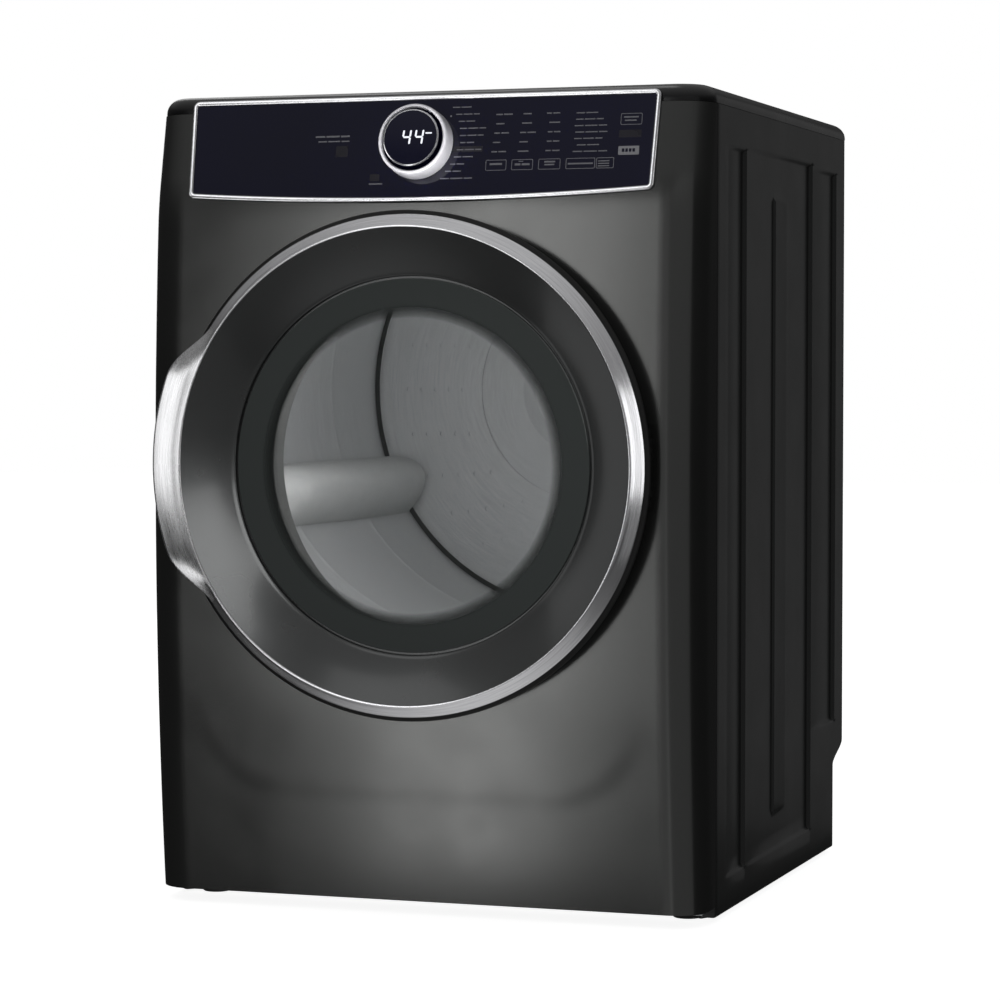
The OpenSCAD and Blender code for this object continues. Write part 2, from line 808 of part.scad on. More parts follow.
module blower_housing() {
    color([0.25, 0.25, 0.26]) at_seam() difference() {
        union() {
            xz_plate(28, 98) volute_outline(0);
            translate([motor_x, 0, motor_z]) y_rod(65, 20, 29);
        }
        xz_plate(31, 95) volute_outline(2.5);
        translate([motor_x, 0, motor_z]) y_rod(62, 15, 35);
        translate([motor_x, 0, motor_z]) y_rod(15, 90, 110);
        translate([0, 0, pipe_z]) y_rod(pipe_r - 1, 90, 110);
    }
}

module exhaust_pipe() {
    color([0.75, 0.76, 0.77]) at_seam() translate([0, 0, pipe_z])
        y_turned([
            [pipe_r - 0.8, 98], [pipe_r + 3, 98], [pipe_r + 3, 99.5], [pipe_r, 99.5],
            [pipe_r, step_y], [pipe_r + 3, step_y], [pipe_r + 3, step_y + 1], [pipe_r, step_y + 3],
            [pipe_r, pipe_y1], [pipe_r - 0.8, pipe_y1]
        ]);
}

module idler_arm() {
    wheel = belt_wheels[1];
    along = idler_run / norm(idler_run);
    reach = norm(idler_run);
    color([0.4, 0.41, 0.42]) at_seam() difference() {
        union() {
            translate([idler_pivot[0], 0, idler_pivot[1]]) rotate([0, -atan2(along[1], along[0]), 0])
                box([-34, 290, -6.5], [reach, 293, 6.5]);
            translate([idler_pivot[0], 0, idler_pivot[1]]) y_rod(10, 284, 293);
            translate([wheel[0], 0, wheel[1]]) y_rod(8, 290, 293);
            translate([wheel[0], 0, wheel[1]]) y_rod(4, 293, 317);
            translate([tail_end[0], 0, tail_end[1]]) y_rod(spring_pin_r, spring_y - 4, 291);
        }
        translate([idler_pivot[0], 0, idler_pivot[1]]) y_rod(5 + running_gap, 280, 300);
    }
}

module idler_pulley() {
    wheel = belt_wheels[1];
    color([0.9, 0.88, 0.8]) at_seam() translate([wheel[0], 0, wheel[1]]) y_turned([
        [4 + running_gap, 295], [20, 295], [20, 296.5], [idler_r, 298],
        [idler_r, 314], [20, 315.5], [20, 317], [4 + running_gap, 317]
    ]);
}

// Round wire along a list of points, as one closed mesh
module wire(path, r, sides = 8) {
    last = len(path) - 1;
    ring = function (i)
        let (
            ahead = path[min(i + 1, last)] - path[max(i - 1, 0)],
            t = ahead / norm(ahead),
            side = cross(t, [0, 1, 0.001]),
            u = side / norm(side),
            v = cross(t, u)
        )
        [for (k = [0:sides - 1]) path[i] + r * (cos(360 * k / sides) * u + sin(360 * k / sides) * v)];
    polyhedron(points = [for (i = [0:last]) each ring(i)], faces = skin_faces(last + 1, sides));
}

module idler_spring() {
    turns = 12;
    steps = 10;
    low = [tail_end[0], spring_y, spring_z0];
    rise = tail_end[1] - spring_pin_gap - spring_z0;
    color([0.6, 0.6, 0.62]) at_seam() wire([
        for (i = [0:turns * steps])
            let (a = 360 * i / steps)
                low + [5 * cos(a), 5 * sin(a), rise * i / (turns * steps)]
    ], 0.9, 6);
}

// ---------- lint path ----------

module chute_outline(skin) {
    polygon([
        [skin - 110, 345], [110 - skin, 345], [110 - skin, 311], [196 - skin, 200], [196 - skin, 76 + skin],
        [56 + skin, 76 + skin], [skin - 110, 176 + skin]
    ]);
}

// Cone of the throat collar's inner face, moved outwards by grow
module throat_cone(grow) {
    translate([0, 0, door_z]) y_turned([
        [0, -62], [230 + grow, -62], [212.5 + grow, 19.4], [212.5 + grow, 21], [0, 21]
    ]);
}

module lint_chute() {
    color([0.8, 0.8, 0.79]) at_seam() difference() {
        xz_plate(-10, 20) chute_outline(0);
        xz_plate(-8, 18) chute_outline(2);
        translate([motor_x, 0, motor_z]) y_rod(62, 10, 25);
        throat_cone(2.6);
    }
}

module lint_filter_frame() {
    bars = 17;
    color([0.55, 0.57, 0.6]) at_seam() difference() {
        union() {
            difference() {
                box([-100, -2, 190], [100, 10, 345]);
                throat_cone(-1.5);
            }
            intersection() {
                box([-108, -9, 300], [108, 16, 350]);
                difference() {
                    throat_cone(-0.4);
                    throat_cone(-3.4);
                }
            }
        }
        for (i = [0:3]) box([-94 + 48 * i, -5, 198], [-50 + 48 * i, 20, 300]);
        difference() {
            box([-94, -0.5, 304], [94, 8.5, 350]);
            throat_cone(-0.4);
        }
        for (i = [0:bars - 1])
            let (x = 11 * (i - (bars - 1) / 2))
                box([x - 3, -0.5, 304], [x + 3, 8.5, 350]);
        box([-94, -0.5, 299], [94, 8.5, 305]);
    }
}

module lint_filter_mesh() {
    color([0.35, 0.36, 0.38]) at_seam() for (i = [0:3])
        box([-94 + 48 * i, 3.5, 198], [-50 + 48 * i, 4.5, 300]);
}

// ---------- heater ----------

// The heating coil runs round the drum's axis from one angle on
coil_r = 168;
coil_start = 200;
coil_sweep = 320;

module heater_housing() {
    color([0.62, 0.63, 0.64]) at_drum() {
        difference() {
            y_turned([
                [80, 606], [250, 606], [250, 607.6], [236, 607.6],
                [232, 640], [100, 640], [96, 607.6], [80, 607.6]
            ]);
            y_turned([
                [97.6, 600], [234.4, 600], [234.4, 607.6],
                [230.6, 638.4], [101.4, 638.4], [97.6, 607.6]
            ]);
        }
        for (i = [0:7])
            let (a = coil_start + 10 + i * (coil_sweep - 20) / 7)
                translate([coil_r * cos(a), 0, coil_r * sin(a)]) y_rod(3.5, 632.3, 639);
    }
}

module heating_coil() {
    turns = 44;
    steps = 8;
    color([0.75, 0.45, 0.3]) at_drum() wire([
        for (i = [0:turns * steps])
            let (
                a = coil_start + coil_sweep * i / (turns * steps),
                c = 360 * i / steps,
                r = coil_r + 9 * cos(c)
            )
            [r * cos(a), 622 + 9 * sin(c), r * sin(a)]
    ], 1.2, 5);
}

module thermostats() {
    color([0.85, 0.85, 0.83]) at_drum() for (a = [20, 52])
        translate([coil_r * cos(a), 0, coil_r * sin(a)]) {
            y_rod(10, 640, 643);
            y_rod(7, 643, 646);
        }
}

module terminal_cover() {
    color([0.2, 0.2, 0.21]) at_seam() translate([terminal_x, side_d, 825]) difference() {
        union() {
            box([-73, 0, -63], [73, 2, 63]);
            box([-61, 2, -51], [61, rear_proud, 51]);
        }
        box([-58, -1, -48], [58, rear_proud - 2, 48]);
    }
}

module rear_screws() {
    color([0.7, 0.7, 0.72]) at_seam() {
        for (x = [-325, -160, 0, 160, 325])
            translate([x, 0, 930]) y_rod(5, side_d + 0.05, side_d + 2.5);
        for (z = [220, 450, 690])
            mirrored_x() translate([325, 0, z]) y_rod(5, side_d + 0.05, side_d + 2.5);
        for (x = [-325, -120, 120, 325])
            translate([x, 0, 60]) y_rod(5, step_y + 0.05, step_y + 2.5);
    }
}

// ---------- door ----------

module door_ring() {
    color([0.85, 0.85, 0.87]) at_door() y_turned([
        [ring_in_r - 1.4, -124.6], [ring_in_r - 0.9, -door_reach + 0.4], [ring_in_r, -door_reach],
        [ring_in_r + 0.9, -door_reach + 0.4], [ring_out_r, -112.6], [ring_out_r, -110.6],
        [ring_out_r - 2, -110.2]
    ], 180 + handle_end, 360 - 2 * handle_end);
}

// Outer radius of the handle at an angle from its middle
function handle_edge(a) =
    let (t = min(max((handle_end - abs(a)) / (handle_end - handle_full), 0), 1))
    ring_out_r + (handle_r - ring_out_r) * (3 - 2 * t) * t * t;

// One section of the handle: front face, outer lip and back face, as [radius, y]
function handle_section(a) =
    let (
        r = handle_edge(a),
        share = (r - ring_out_r) / (handle_r - ring_out_r)
    )
    [
        [ring_in_r - 1.4, -124.6], [ring_in_r, -door_reach],
        [ring_in_r + (r - ring_in_r) * 0.35, -122.6 + 0.6 * share - 1.5 * (1 - share)],
        [ring_in_r + (r - ring_in_r) * 0.7, -117.6 + 0.2 * share],
        [r, -112.6], [r + 0.2 * share, -110.6 + 2 * share], [r - 2 - share, -110.2 + 2 * share],
        [ring_in_r + (r - ring_in_r) * 0.66, -113.2 - 0.8 * share]
    ];

module door_handle() {
    steps = 34;
    rings = [for (i = [0:steps]) let (a = handle_end * (2 * i / steps - 1))
        [for (p = handle_section(a)) [p[0] * cos(180 + a), p[1], p[0] * sin(180 + a)]]];
    n = len(rings[0]);
    color([0.75, 0.75, 0.76]) at_door()
        polyhedron(points = [for (ring = rings) each ring], faces = skin_faces(steps + 1, n));
}

module door_bezel() {
    color([0.22, 0.23, 0.23]) at_door() y_turned([
        [ring_in_r - 1.6, -124.6], [268, -119.4], [256, -111.6], [244, -103.9], [232, -96.3], [222, -90.4],
        [219.5, -89.4], [219.5, -84], [211, -84], [211, -82], [222, -82], [222, -87.4], [232, -93.5],
        [244, -101.1], [256, -108.8], [268, -116.6], [ring_in_r - 2.4, -121.2]
    ]);
}

module door_rim() {
    color([0.05, 0.05, 0.05]) at_door() difference() {
        y_turned([
            [ring_in_r - 2.4, -121.2], [ring_in_r - 1.6, -124.6], [ring_in_r - 1.4, -124.6],
            [ring_out_r - 2, -110.2], [rim_r, -107], [rim_r, -105.6], [284, -86], [281, -86],
            [290.6, -104.4], [289, -106], [272.8, -117.6]
        ]);
        box([240, -104.8, -50], [310, -80, 50]);
    }
}

module door_glass() {
    color([0.3, 0.33, 0.33, 0.5]) at_door() y_turned([
        [0, -88], [glass_r - 0.8, -88], [glass_r, -87.2], [glass_r, -84], [0, -84]
    ]);
}

module door_liner() {
    color([0.6, 0.61, 0.62]) at_door() difference() {
        y_turned([
            [222, -86], [283, -86], [283, -84], [250, -84], [248, liner_back_y], [226, liner_back_y],
            [222, -74], [208, -42], [204, -40], [191, -40], [191, -44], [205, -44.5], [216, -70], [214, -82],
            [222, -82]
        ]);
        box([246, -88, -52], [290, -70, 52]);
    }
}

module door_inner_glass() {
    color([0.7, 0.75, 0.75, 0.35]) at_door() y_turned([
        [0, -24], [60, -25.5], [120, -30.5], [165, -37.5], [190.8, -44], [190.8, -48], [163, -41.3],
        [119, -34.3], [60, -29.4], [0, -28]
    ]);
}

module door_seal() {
    color([0.12, 0.12, 0.12]) at_door() y_turned([
        [seal_in_r, liner_back_y], [seal_out_r, liner_back_y], [seal_out_r - 1, landing_y - 0.5],
        [seal_in_r + 1, landing_y - 0.5]
    ]);
}

module door_hinge() {
    color([0.5, 0.5, 0.52]) at_door() difference() {
        union() {
            translate([hinge_x, hinge_y, -34]) cylinder(r = 7.5, h = 68);
            box([252, hinge_y + 1, -34], [hinge_x, hinge_y + 4.5, 34]);
            for (z = [-24, 24]) translate([256, 0, z]) y_rod(4, -105.6, hinge_y + 1);
        }
        translate([hinge_x, hinge_y, -40]) cylinder(r = hinge_pin_r + running_gap, h = 80);
    }
}

module hinge_bracket() {
    color([0.45, 0.46, 0.48]) at_door() {
        translate([hinge_x, hinge_y, -45]) cylinder(r = hinge_pin_r, h = 90);
        for (z = [-45, 38]) {
            box([255, hinge_y - 3, z], [hinge_x, hinge_y + 3, z + 7]);
            translate([hinge_x, hinge_y, z]) cylinder(r = 6, h = 7);
            box([255, hinge_y - 3, z], [260, landing_y - 2.5, z + 7]);
        }
        box([250, landing_y - 3, -45], [262, landing_y, 45]);
    }
}

module door_catch() {
    color([0.8, 0.8, 0.8]) at_door() {
        box([-259, -84, -7], [-252, -56, 7]);
        translate([-252, -62, -7]) cylinder(r = 2.5, h = 14);
        box([-262, -84, -12], [-250.5, -81, 12]);
    }
}

module door_strike() {
    color([0.85, 0.85, 0.83]) at_door() difference() {
        box([-268, landing_y + sheet, -22], [-242, -44, 22]);
        box([-262.5, landing_y - 5, -11], [-246.5, -50, 11]);
    }
}

module door_switch() {
    color([0.15, 0.15, 0.15]) at_door() translate([-207, 0, -145]) difference() {
        box([-9, landing_y + sheet, -14], [9, -40, 14]);
        y_rod(4 + running_gap, -80, -48);
    }
}

module switch_plunger() {
    color([0.9, 0.9, 0.88]) at_door() translate([-207, 0, -145]) y_rod(4, -76.8, -49);
}

// ---------- feet ----------

module foot() {
    color([0.08, 0.08, 0.08]) {
        cylinder(r = 17, h = 5);
        translate([0, 0, 5]) cylinder(r1 = 17, r2 = 12, h = 2.2);
        translate([0, 0, 7]) cylinder(r = 5, h = 40);
    }
}

module foot_front_left() at_seam() translate([-foot_x, foot_y0, 0]) foot();

module foot_front_right() at_seam() translate([foot_x, foot_y0, 0]) foot();

module foot_rear_left() at_seam() translate([-foot_x, foot_y1, 0]) foot();

module foot_rear_right() at_seam() translate([foot_x, foot_y1, 0]) foot();

front_panel();
side_panel_left();
side_panel_right();
top_panel();
rear_panel();
base_pan();
console_fascia();
console_frame();
console_back();
control_board();
display_lens();
selector_knob();
front_bulkhead();
throat_collar();
drum_felt();
drum_glides();
rear_bulkhead();
rear_bearing();
drum_shell();
drum_back();
drum_vanes();
drum_axle();
drive_belt();
motor_housing();
motor_bracket();
motor_shaft();
motor_pulley();
blower_wheel();
blower_housing();
idler_arm();
idler_pulley();
idler_spring();
lint_chute();
lint_filter_frame();
lint_filter_mesh();
exhaust_pipe();
heater_housing();
heating_coil();
thermostats();
door_ring();
door_handle();
door_bezel();
door_rim();
door_glass();
door_liner();
door_inner_glass();
door_seal();
door_hinge();
door_catch();
hinge_bracket();
door_strike();
door_switch();
switch_plunger();
drum_lamp();
terminal_cover();
rear_screws();
foot_front_left();
foot_front_right();
foot_rear_left();
foot_rear_right();
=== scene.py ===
"""Looks of a front-loading clothes dryer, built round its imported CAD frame.

Shapes are drawn in millimetres in the place that they belong to: the seam between
the front panel and the side panels, the middle of the door, the drum's axis, the
lower edge of the tilted console or the middle of the knob. piece() turns them into
metres in the frame. A turned profile is a list of (radius, y), an outline is a list
of (x, z), and the front of the object looks along -Y.
"""

import math

import bmesh
import bpy
from mathutils import Matrix, Quaternion, Vector

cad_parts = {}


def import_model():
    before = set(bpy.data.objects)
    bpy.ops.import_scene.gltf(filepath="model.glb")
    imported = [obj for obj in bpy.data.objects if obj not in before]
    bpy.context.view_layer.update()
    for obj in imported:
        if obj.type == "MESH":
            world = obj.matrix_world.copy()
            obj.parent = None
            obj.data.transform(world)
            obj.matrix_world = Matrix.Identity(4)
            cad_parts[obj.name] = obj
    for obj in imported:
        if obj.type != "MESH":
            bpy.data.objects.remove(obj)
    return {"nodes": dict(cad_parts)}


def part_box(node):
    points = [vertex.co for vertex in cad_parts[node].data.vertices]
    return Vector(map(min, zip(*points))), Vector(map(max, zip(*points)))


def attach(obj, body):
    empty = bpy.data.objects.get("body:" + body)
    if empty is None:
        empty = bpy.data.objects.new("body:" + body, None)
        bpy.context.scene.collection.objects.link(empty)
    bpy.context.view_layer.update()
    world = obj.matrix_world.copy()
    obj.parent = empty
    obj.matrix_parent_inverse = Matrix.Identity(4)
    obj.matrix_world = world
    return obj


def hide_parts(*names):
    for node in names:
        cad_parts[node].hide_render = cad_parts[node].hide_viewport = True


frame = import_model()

MM = 0.001
bpy.context.view_layer.update()
scene = bpy.context.scene

# --- places, from the frame ---


def low(node):
    """Lowest corner of a CAD node, in millimetres."""
    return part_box(node)[0] / MM


def high(node):
    """Highest corner of a CAD node, in millimetres."""
    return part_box(node)[1] / MM


def middle(node):
    return (low(node) + high(node)) / 2


SHEET = 1.5
SEAM_GAP = 0.25
seam_y = low("side_panel_right").y - SEAM_GAP
half_w = high("side_panel_right").x
side_d = high("side_panel_right").y - seam_y
side_low_z = low("side_panel_right").z
top_z = high("top_panel").z
lid_low_z = top_z - 20.5
door_z = middle("door_glass").z
drum_z = middle("drum_shell").z
drum_r = (high("drum_shell").x - low("drum_shell").x) / 2

CONSOLE_TILT = 12
CONSOLE_Y = -71
CONSOLE_Z = 842.5
KNOB_UP = 60

AT_SEAM = Matrix.Scale(MM, 4) @ Matrix.Translation((0, seam_y, 0))
AT_DOOR = AT_SEAM @ Matrix.Translation((0, 0, door_z))
AT_DRUM = AT_SEAM @ Matrix.Translation((0, 0, drum_z))
AT_CONSOLE = (
    AT_SEAM
    @ Matrix.Translation((0, CONSOLE_Y, CONSOLE_Z))
    @ Matrix.Rotation(math.radians(-CONSOLE_TILT), 4, "X")
)
AT_KNOB = AT_CONSOLE @ Matrix.Translation((0, 0, KNOB_UP))

# --- mesh tools ---


def smoothstep(start, end, value):
    t = min(max((value - start) / (end - start), 0), 1)
    return t * t * (3 - 2 * t)


def spread(start, end, count):
    """count + 1 evenly spaced values from start to end."""
    return [start + (end - start) * i / count for i in range(count + 1)]


def arc(centre, radius, start, end, steps):
    """Points along an arc, with its angles in degrees."""
    return [
        (centre[0] + radius * math.cos(math.radians(a)), centre[1] + radius * math.sin(math.radians(a)))
        for a in spread(start, end, steps)
    ]


def filleted(points, radius, steps=4):
    """A closed outline with its corners rounded, as far as its sides leave room."""
    side_share = 0.45
    least_reach = 0.02
    on_axis = 0.01
    nearly_straight = 0.05
    rounded = []
    count = len(points)
    for i, point in enumerate(points):
        here = Vector(point)
        before = Vector(points[i - 1]) - here
        after = Vector(points[(i + 1) % count]) - here
        reach = min(radius, before.length * side_share, after.length * side_share)
        if reach < least_reach or here[0] < on_axis or abs(before.angle(after) - math.pi) < nearly_straight:
            rounded.append(tuple(here))
            continue
        start = here + before.normalized() * reach
        end = here + after.normalized() * reach
        for t in spread(0, 1, steps):
            spot = start * (1 - t) ** 2 + here * 2 * t * (1 - t) + end * t * t
            rounded.append(tuple(spot))
    return rounded


def circle(radius, count):
    """Points evenly spaced round a circle."""
    return [
        (radius * math.cos(math.tau * k / count), radius * math.sin(math.tau * k / count)) for k in range(count)
    ]


def faces_between(bm, row, following, closed):
    """Quads, or triangles at a shared point, between two rows of vertices."""
    count = len(row)
    for k in range(count if closed else count - 1):
        n = (k + 1) % count
        corners = []
        for vert in (row[k], row[n], following[n], following[k]):
            if vert not in corners:
                corners.append(vert)
        if len(corners) > 2:
            bm.faces.new(corners)


def turned(profile, steps=180):
    """Closed profile of (radius, y) turned about the Y axis."""
    bm = bmesh.new()
    rows = []
    for radius, y in profile:
        if radius == 0:
            rows.append([bm.verts.new((0, y, 0))] * steps)
        else:
            rows.append([bm.verts.new((x, y, z)) for x, z in circle(radius, steps)])
    for i, row in enumerate(rows):
        faces_between(bm, row, rows[(i + 1) % len(rows)], True)
    return bm


def loft(loops, ring=False, open_start=False):
    """Skin over loops of as many points each, joined round in a ring or closed at its ends."""
    bm = bmesh.new()
    rows = [[bm.verts.new(point) for point in loop] for loop in loops]
    for row, following in zip(rows, rows[1:]):
        faces_between(bm, row, following, True)
    if ring:
        faces_between(bm, rows[-1], rows[0], True)
        return bm
    if not open_start:
        bm.faces.new(rows[0])
    bm.faces.new(rows[-1])
    return bm


def surface(rows):
    """Open sheet over rows of points."""
    bm = bmesh.new()
    verts = [[bm.verts.new(point) for point in row] for row in rows]
    for row, following in zip(verts, verts[1:]):
        faces_between(bm, row, following, False)
    return bm


def joined(parts):
    """One mesh from several."""
    whole = bmesh.new()
    for part in parts:
        scratch = bpy.data.meshes.new("scratch")
        part.to_mesh(scratch)
        part.free()
        whole.from_mesh(scratch)
        bpy.data.meshes.remove(scratch)
    return whole


def moved(bm, offset=(0, 0, 0), turn=0):
    """The mesh turned by these degrees about the Y axis and then moved."""
    bm.transform(Matrix.Translation(offset) @ Matrix.Rotation(math.radians(turn), 4, "Y"))
    return bm


def xz_loops(levels):
    """Loops of points from outlines drawn in X and Z, each with its y."""
    return [[(x, y, z) for x, z in outline] for outline, y in levels]


def xz_block(outline, y0, y1):
    """Outline drawn in X and Z with a thickness along Y."""
    return loft(xz_loops([(outline, y0), (outline, y1)]))


def box_of(corner, opposite):
    """Block between two of its corners."""
    (x0, y0, z0), (x1, y1, z1) = corner, opposite
    return xz_block([(x0, z0), (x1, z0), (x1, z1), (x0, z1)], y0, y1)


def shade_smooth(obj, angle):
    """Smooth faces with creases kept wherever they meet at more than this angle."""
    bm = bmesh.new()
    bm.from_mesh(obj.data)
    for face in bm.faces:
        face.smooth = True
    for edge in bm.edges:
        edge.smooth = not (len(edge.link_faces) == 2 and edge.calc_face_angle(0) > math.radians(angle))
    bm.to_mesh(obj.data)
    bm.free()


def bare_object(name, bm, at):
    """Object from a mesh that is drawn in this place."""
    bmesh.ops.recalc_face_normals(bm, faces=bm.faces)
    bm.transform(at)
    mesh = bpy.data.meshes.new(name)
    bm.to_mesh(mesh)
    bm.free()
    obj = bpy.data.objects.new(name, mesh)
    scene.collection.objects.link(obj)
    return obj


def piece(name, bm, at, body, slot, replaces=(), cuts=(), shell=0, angle=32, finish=None):
    """A finished piece of the dryer that rides on a body and stands for CAD nodes.

    shell gives an open sheet a thickness in millimetres, cuts are meshes taken away from
    it, angle is the least crease that stays sharp and finish stands in for the slot's own.
    """
    obj = bare_object(name, bm, at)
    obj.data.materials.append(MATERIALS[finish or slot])
    if shell:
        solidify = obj.modifiers.new("shell", "SOLIDIFY")
        solidify.thickness = shell * MM
        solidify.offset = -1
        solidify.use_even_offset = False
    cutters = [bare_object(f"{name}_cutter_{i}", cut, at) for i, cut in enumerate(cuts)]
    for cutter in cutters:
        boolean = obj.modifiers.new("cut", "BOOLEAN")
        boolean.operation = "DIFFERENCE"
        boolean.solver = "EXACT"
        boolean.object = cutter
    if obj.modifiers:
        evaluated = obj.evaluated_get(bpy.context.evaluated_depsgraph_get())
        mesh = bpy.data.meshes.new_from_object(evaluated)
        obj.modifiers.clear()
        obj.data = mesh
    for cutter in cutters:
        bpy.data.objects.remove(cutter)
    shade_smooth(obj, angle)
    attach(obj, body)
    if replaces:
        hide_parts(*replaces)
    return obj


# --- materials ---


def fill(node, **values):
    """Sets inputs of a node; an underscore in a name stands for a space."""
    for socket, value in values.items():
        node.inputs[socket.replace("_", " ")].default_value = value


class Shader:
    """A node material that varies its colour, gloss and relief with the place on the piece."""

    def __init__(self, name, colour, roughness, metallic=0.0, **sockets):
        self.name = name
        self.material = bpy.data.materials.new(name)
        self.material.use_nodes = True
        self.tree = self.material.node_tree
        self.shader = self.tree.nodes["Principled BSDF"]
        self.colour = colour
        self.roughness = roughness
        fill(self.shader, Base_Color=(*colour, 1), Roughness=roughness, Metallic=metallic, **sockets)
        self.place = self.node("ShaderNodeTexCoord").outputs["Object"]

    def node(self, kind, **settings):
        made = self.tree.nodes.new(kind)
        for key, value in settings.items():
            setattr(made, key, value)
        return made

    def link(self, output, target):
        self.tree.links.new(output, target)

    def maths(self, operation, first, second=0.0):
        """Result of an operation on two numbers or outputs."""
        made = self.node("ShaderNodeMath", operation=operation)
        for socket, value in zip(made.inputs, (first, second)):
            if isinstance(value, (int, float)):
                socket.default_value = value
            else:
                self.link(value, socket)
        return made.outputs[0]

    def round_place(self, height):
        """Coordinates of radius, angle and depth about an axis along Y at this height in metres."""
        parts = self.node("ShaderNodeSeparateXYZ")
        self.link(self.place, parts.inputs[0])
        x, y, z = parts.outputs
        up = self.maths("SUBTRACT", z, height)
        squares = self.maths("ADD", self.maths("MULTIPLY", x, x), self.maths("MULTIPLY", up, up))
        combined = self.node("ShaderNodeCombineXYZ")
        self.link(self.maths("SQRT", squares), combined.inputs[0])
        self.link(self.maths("ARCTAN2", up, x), combined.inputs[1])
        self.link(y, combined.inputs[2])
        self.place = combined.outputs[0]
        return self

    def noise(self, scale, detail=3.0):
        """Noise with a scale along each axis, in waves per metre."""
        stretch = self.node("ShaderNodeMapping")
        fill(stretch, Scale=scale if isinstance(scale, tuple) else (scale,) * 3)
        self.link(self.place, stretch.inputs["Vector"])
        noise = self.node("ShaderNodeTexNoise")
        fill(noise, Scale=1.0, Detail=detail)
        self.link(stretch.outputs["Vector"], noise.inputs["Vector"])
        return noise.outputs["Fac"]

    def between(self, factor, low_value, high_value, start=0.3, end=0.7):
        """Value from low_value to high_value as the factor goes from start to end."""
        ramp = self.node("ShaderNodeMapRange")
        fill(ramp, From_Min=start, From_Max=end, To_Min=low_value, To_Max=high_value)
        self.link(factor, ramp.inputs["Value"])
        return ramp.outputs["Result"]

    def blend(self, factor, first, second):
        """Base colour that goes from one colour to another with a factor from 0 to 1."""
        mix = self.node("ShaderNodeMix", data_type="RGBA")
        fill(mix, A=(*first, 1), B=(*second, 1))
        self.link(factor, mix.inputs["Factor"])
        self.link(mix.outputs["Result"], self.shader.inputs["Base Color"])
        return self

    def by_radius(self, start, end, low_value=0.0, high_value=1.0):
        """Value that goes from one to another between two radii in metres."""
        parts = self.node("ShaderNodeSeparateXYZ")
        self.link(self.place, parts.inputs[0])
        return self.between(parts.outputs[0], low_value, high_value, start, end)

    def tone(self, scale, amount, tint=(1, 1, 1)):
        """Base colour that wanders by this share towards darker and towards a tint."""
        darker = [c * (1 - amount) for c in self.colour]
        tinted = [min(c * (1 + amount) * t, 1) for c, t in zip(self.colour, tint)]
        return self.blend(self.between(self.noise(scale), 0, 1), darker, tinted)

    def gloss(self, scale, amount):
        """Roughness that wanders up and down by this amount."""
        wander = self.between(self.noise(scale), self.roughness - amount, self.roughness + amount)
        self.link(wander, self.shader.inputs["Roughness"])
        return self

    def relief(self, scale, depth, strength):
        """Bump of this depth in metres."""
        bump = self.node("ShaderNodeBump")
        fill(bump, Strength=strength, Distance=depth)
        self.link(self.noise(scale, detail=2.0), bump.inputs["Height"])
        self.link(bump.outputs["Normal"], self.shader.inputs["Normal"])
        return self


def paint(name, colour, roughness, metallic, coat):
    """Sprayed metal: slow clouds, fine flake and a little orange peel under a clear coat."""
    shader = Shader(name, colour, roughness, metallic, Coat_Weight=coat, Coat_Roughness=0.12)
    return shader.tone(900, 0.05).gloss(14, 0.02).relief(260, 0.00004, 0.25)


def plastic(name, colour, roughness):
    """Moulded plastic with a fine spark-eroded grain."""
    return Shader(name, colour, roughness).tone(40, 0.06).gloss(60, 0.05).relief(1800, 0.00006, 0.4)


def rolled_steel(name, colour, roughness):
    """Sheet with faint rolling lines along X and zinc bloom."""
    shader = Shader(name, colour, roughness, 1.0)
    return shader.tone((14, 40, 90), 0.14).gloss((20, 200, 900), 0.08).relief((30, 300, 1400), 0.00003, 0.3)


def round_brushed(name, colour, roughness, height, metallic=1.0, **sockets):
    """Metal brushed round an axis along Y at this height in metres."""
    shader = Shader(name, colour, roughness, metallic, **sockets).round_place(height)
    return shader.tone((900, 5, 900), 0.10).gloss((1400, 7, 1400), 0.06).relief((1800, 8, 1800), 0.00003, 0.35)


# Colour, roughness, metallic, coat
PAINTS = {
    "front_paint": ((0.125, 0.127, 0.124), 0.20, 0.85, 0.25),
    "side_paint": ((0.020, 0.0215, 0.021), 0.36, 0.20, 0.15),
    "lid_paint": ((0.012, 0.012, 0.013), 0.28, 0.20, 0.30),
    "door_dish": ((0.060, 0.062, 0.062), 0.26, 0.75, 0.35),
    "motor_paint": ((0.16, 0.165, 0.17), 0.42, 0.30, 0.10),
}
# Colour, roughness
PLASTICS = {
    "black_plastic": ((0.010, 0.010, 0.010), 0.35),
    "dark_plastic": ((0.030, 0.030, 0.032), 0.50),
    "white_plastic": ((0.68, 0.68, 0.66), 0.42),
    "board_green": ((0.015, 0.10, 0.045), 0.40),
    "rubber_black": ((0.014, 0.014, 0.014), 0.75),
    "collar_grey": ((0.10, 0.102, 0.10), 0.50),
    "lifter_grey": ((0.52, 0.53, 0.525), 0.45),
}
SHEETS = {"zinc_sheet": ((0.50, 0.51, 0.52), 0.40), "shaft_steel": ((0.50, 0.50, 0.52), 0.30)}
# Colour, roughness, metallic, tone, gloss
PLAIN = {
    "bearing_bronze": ((0.48, 0.34, 0.16), 0.38, 1.0, (300, 0.15), (500, 0.08)),
    "print_grey": ((0.33, 0.33, 0.36), 0.45, 0.0, (800, 0.15), (400, 0.05)),
    "key_grey": ((0.46, 0.46, 0.49), 0.40, 0.0, (500, 0.10), (300, 0.05)),
    "dim_print": ((0.030, 0.028, 0.040), 0.3, 0.0, (60, 0.1), (60, 0.05)),
    "satin_metal": ((0.82, 0.81, 0.85), 0.35, 0.4, (300, 0.04), ((40, 900, 40), 0.05)),
}
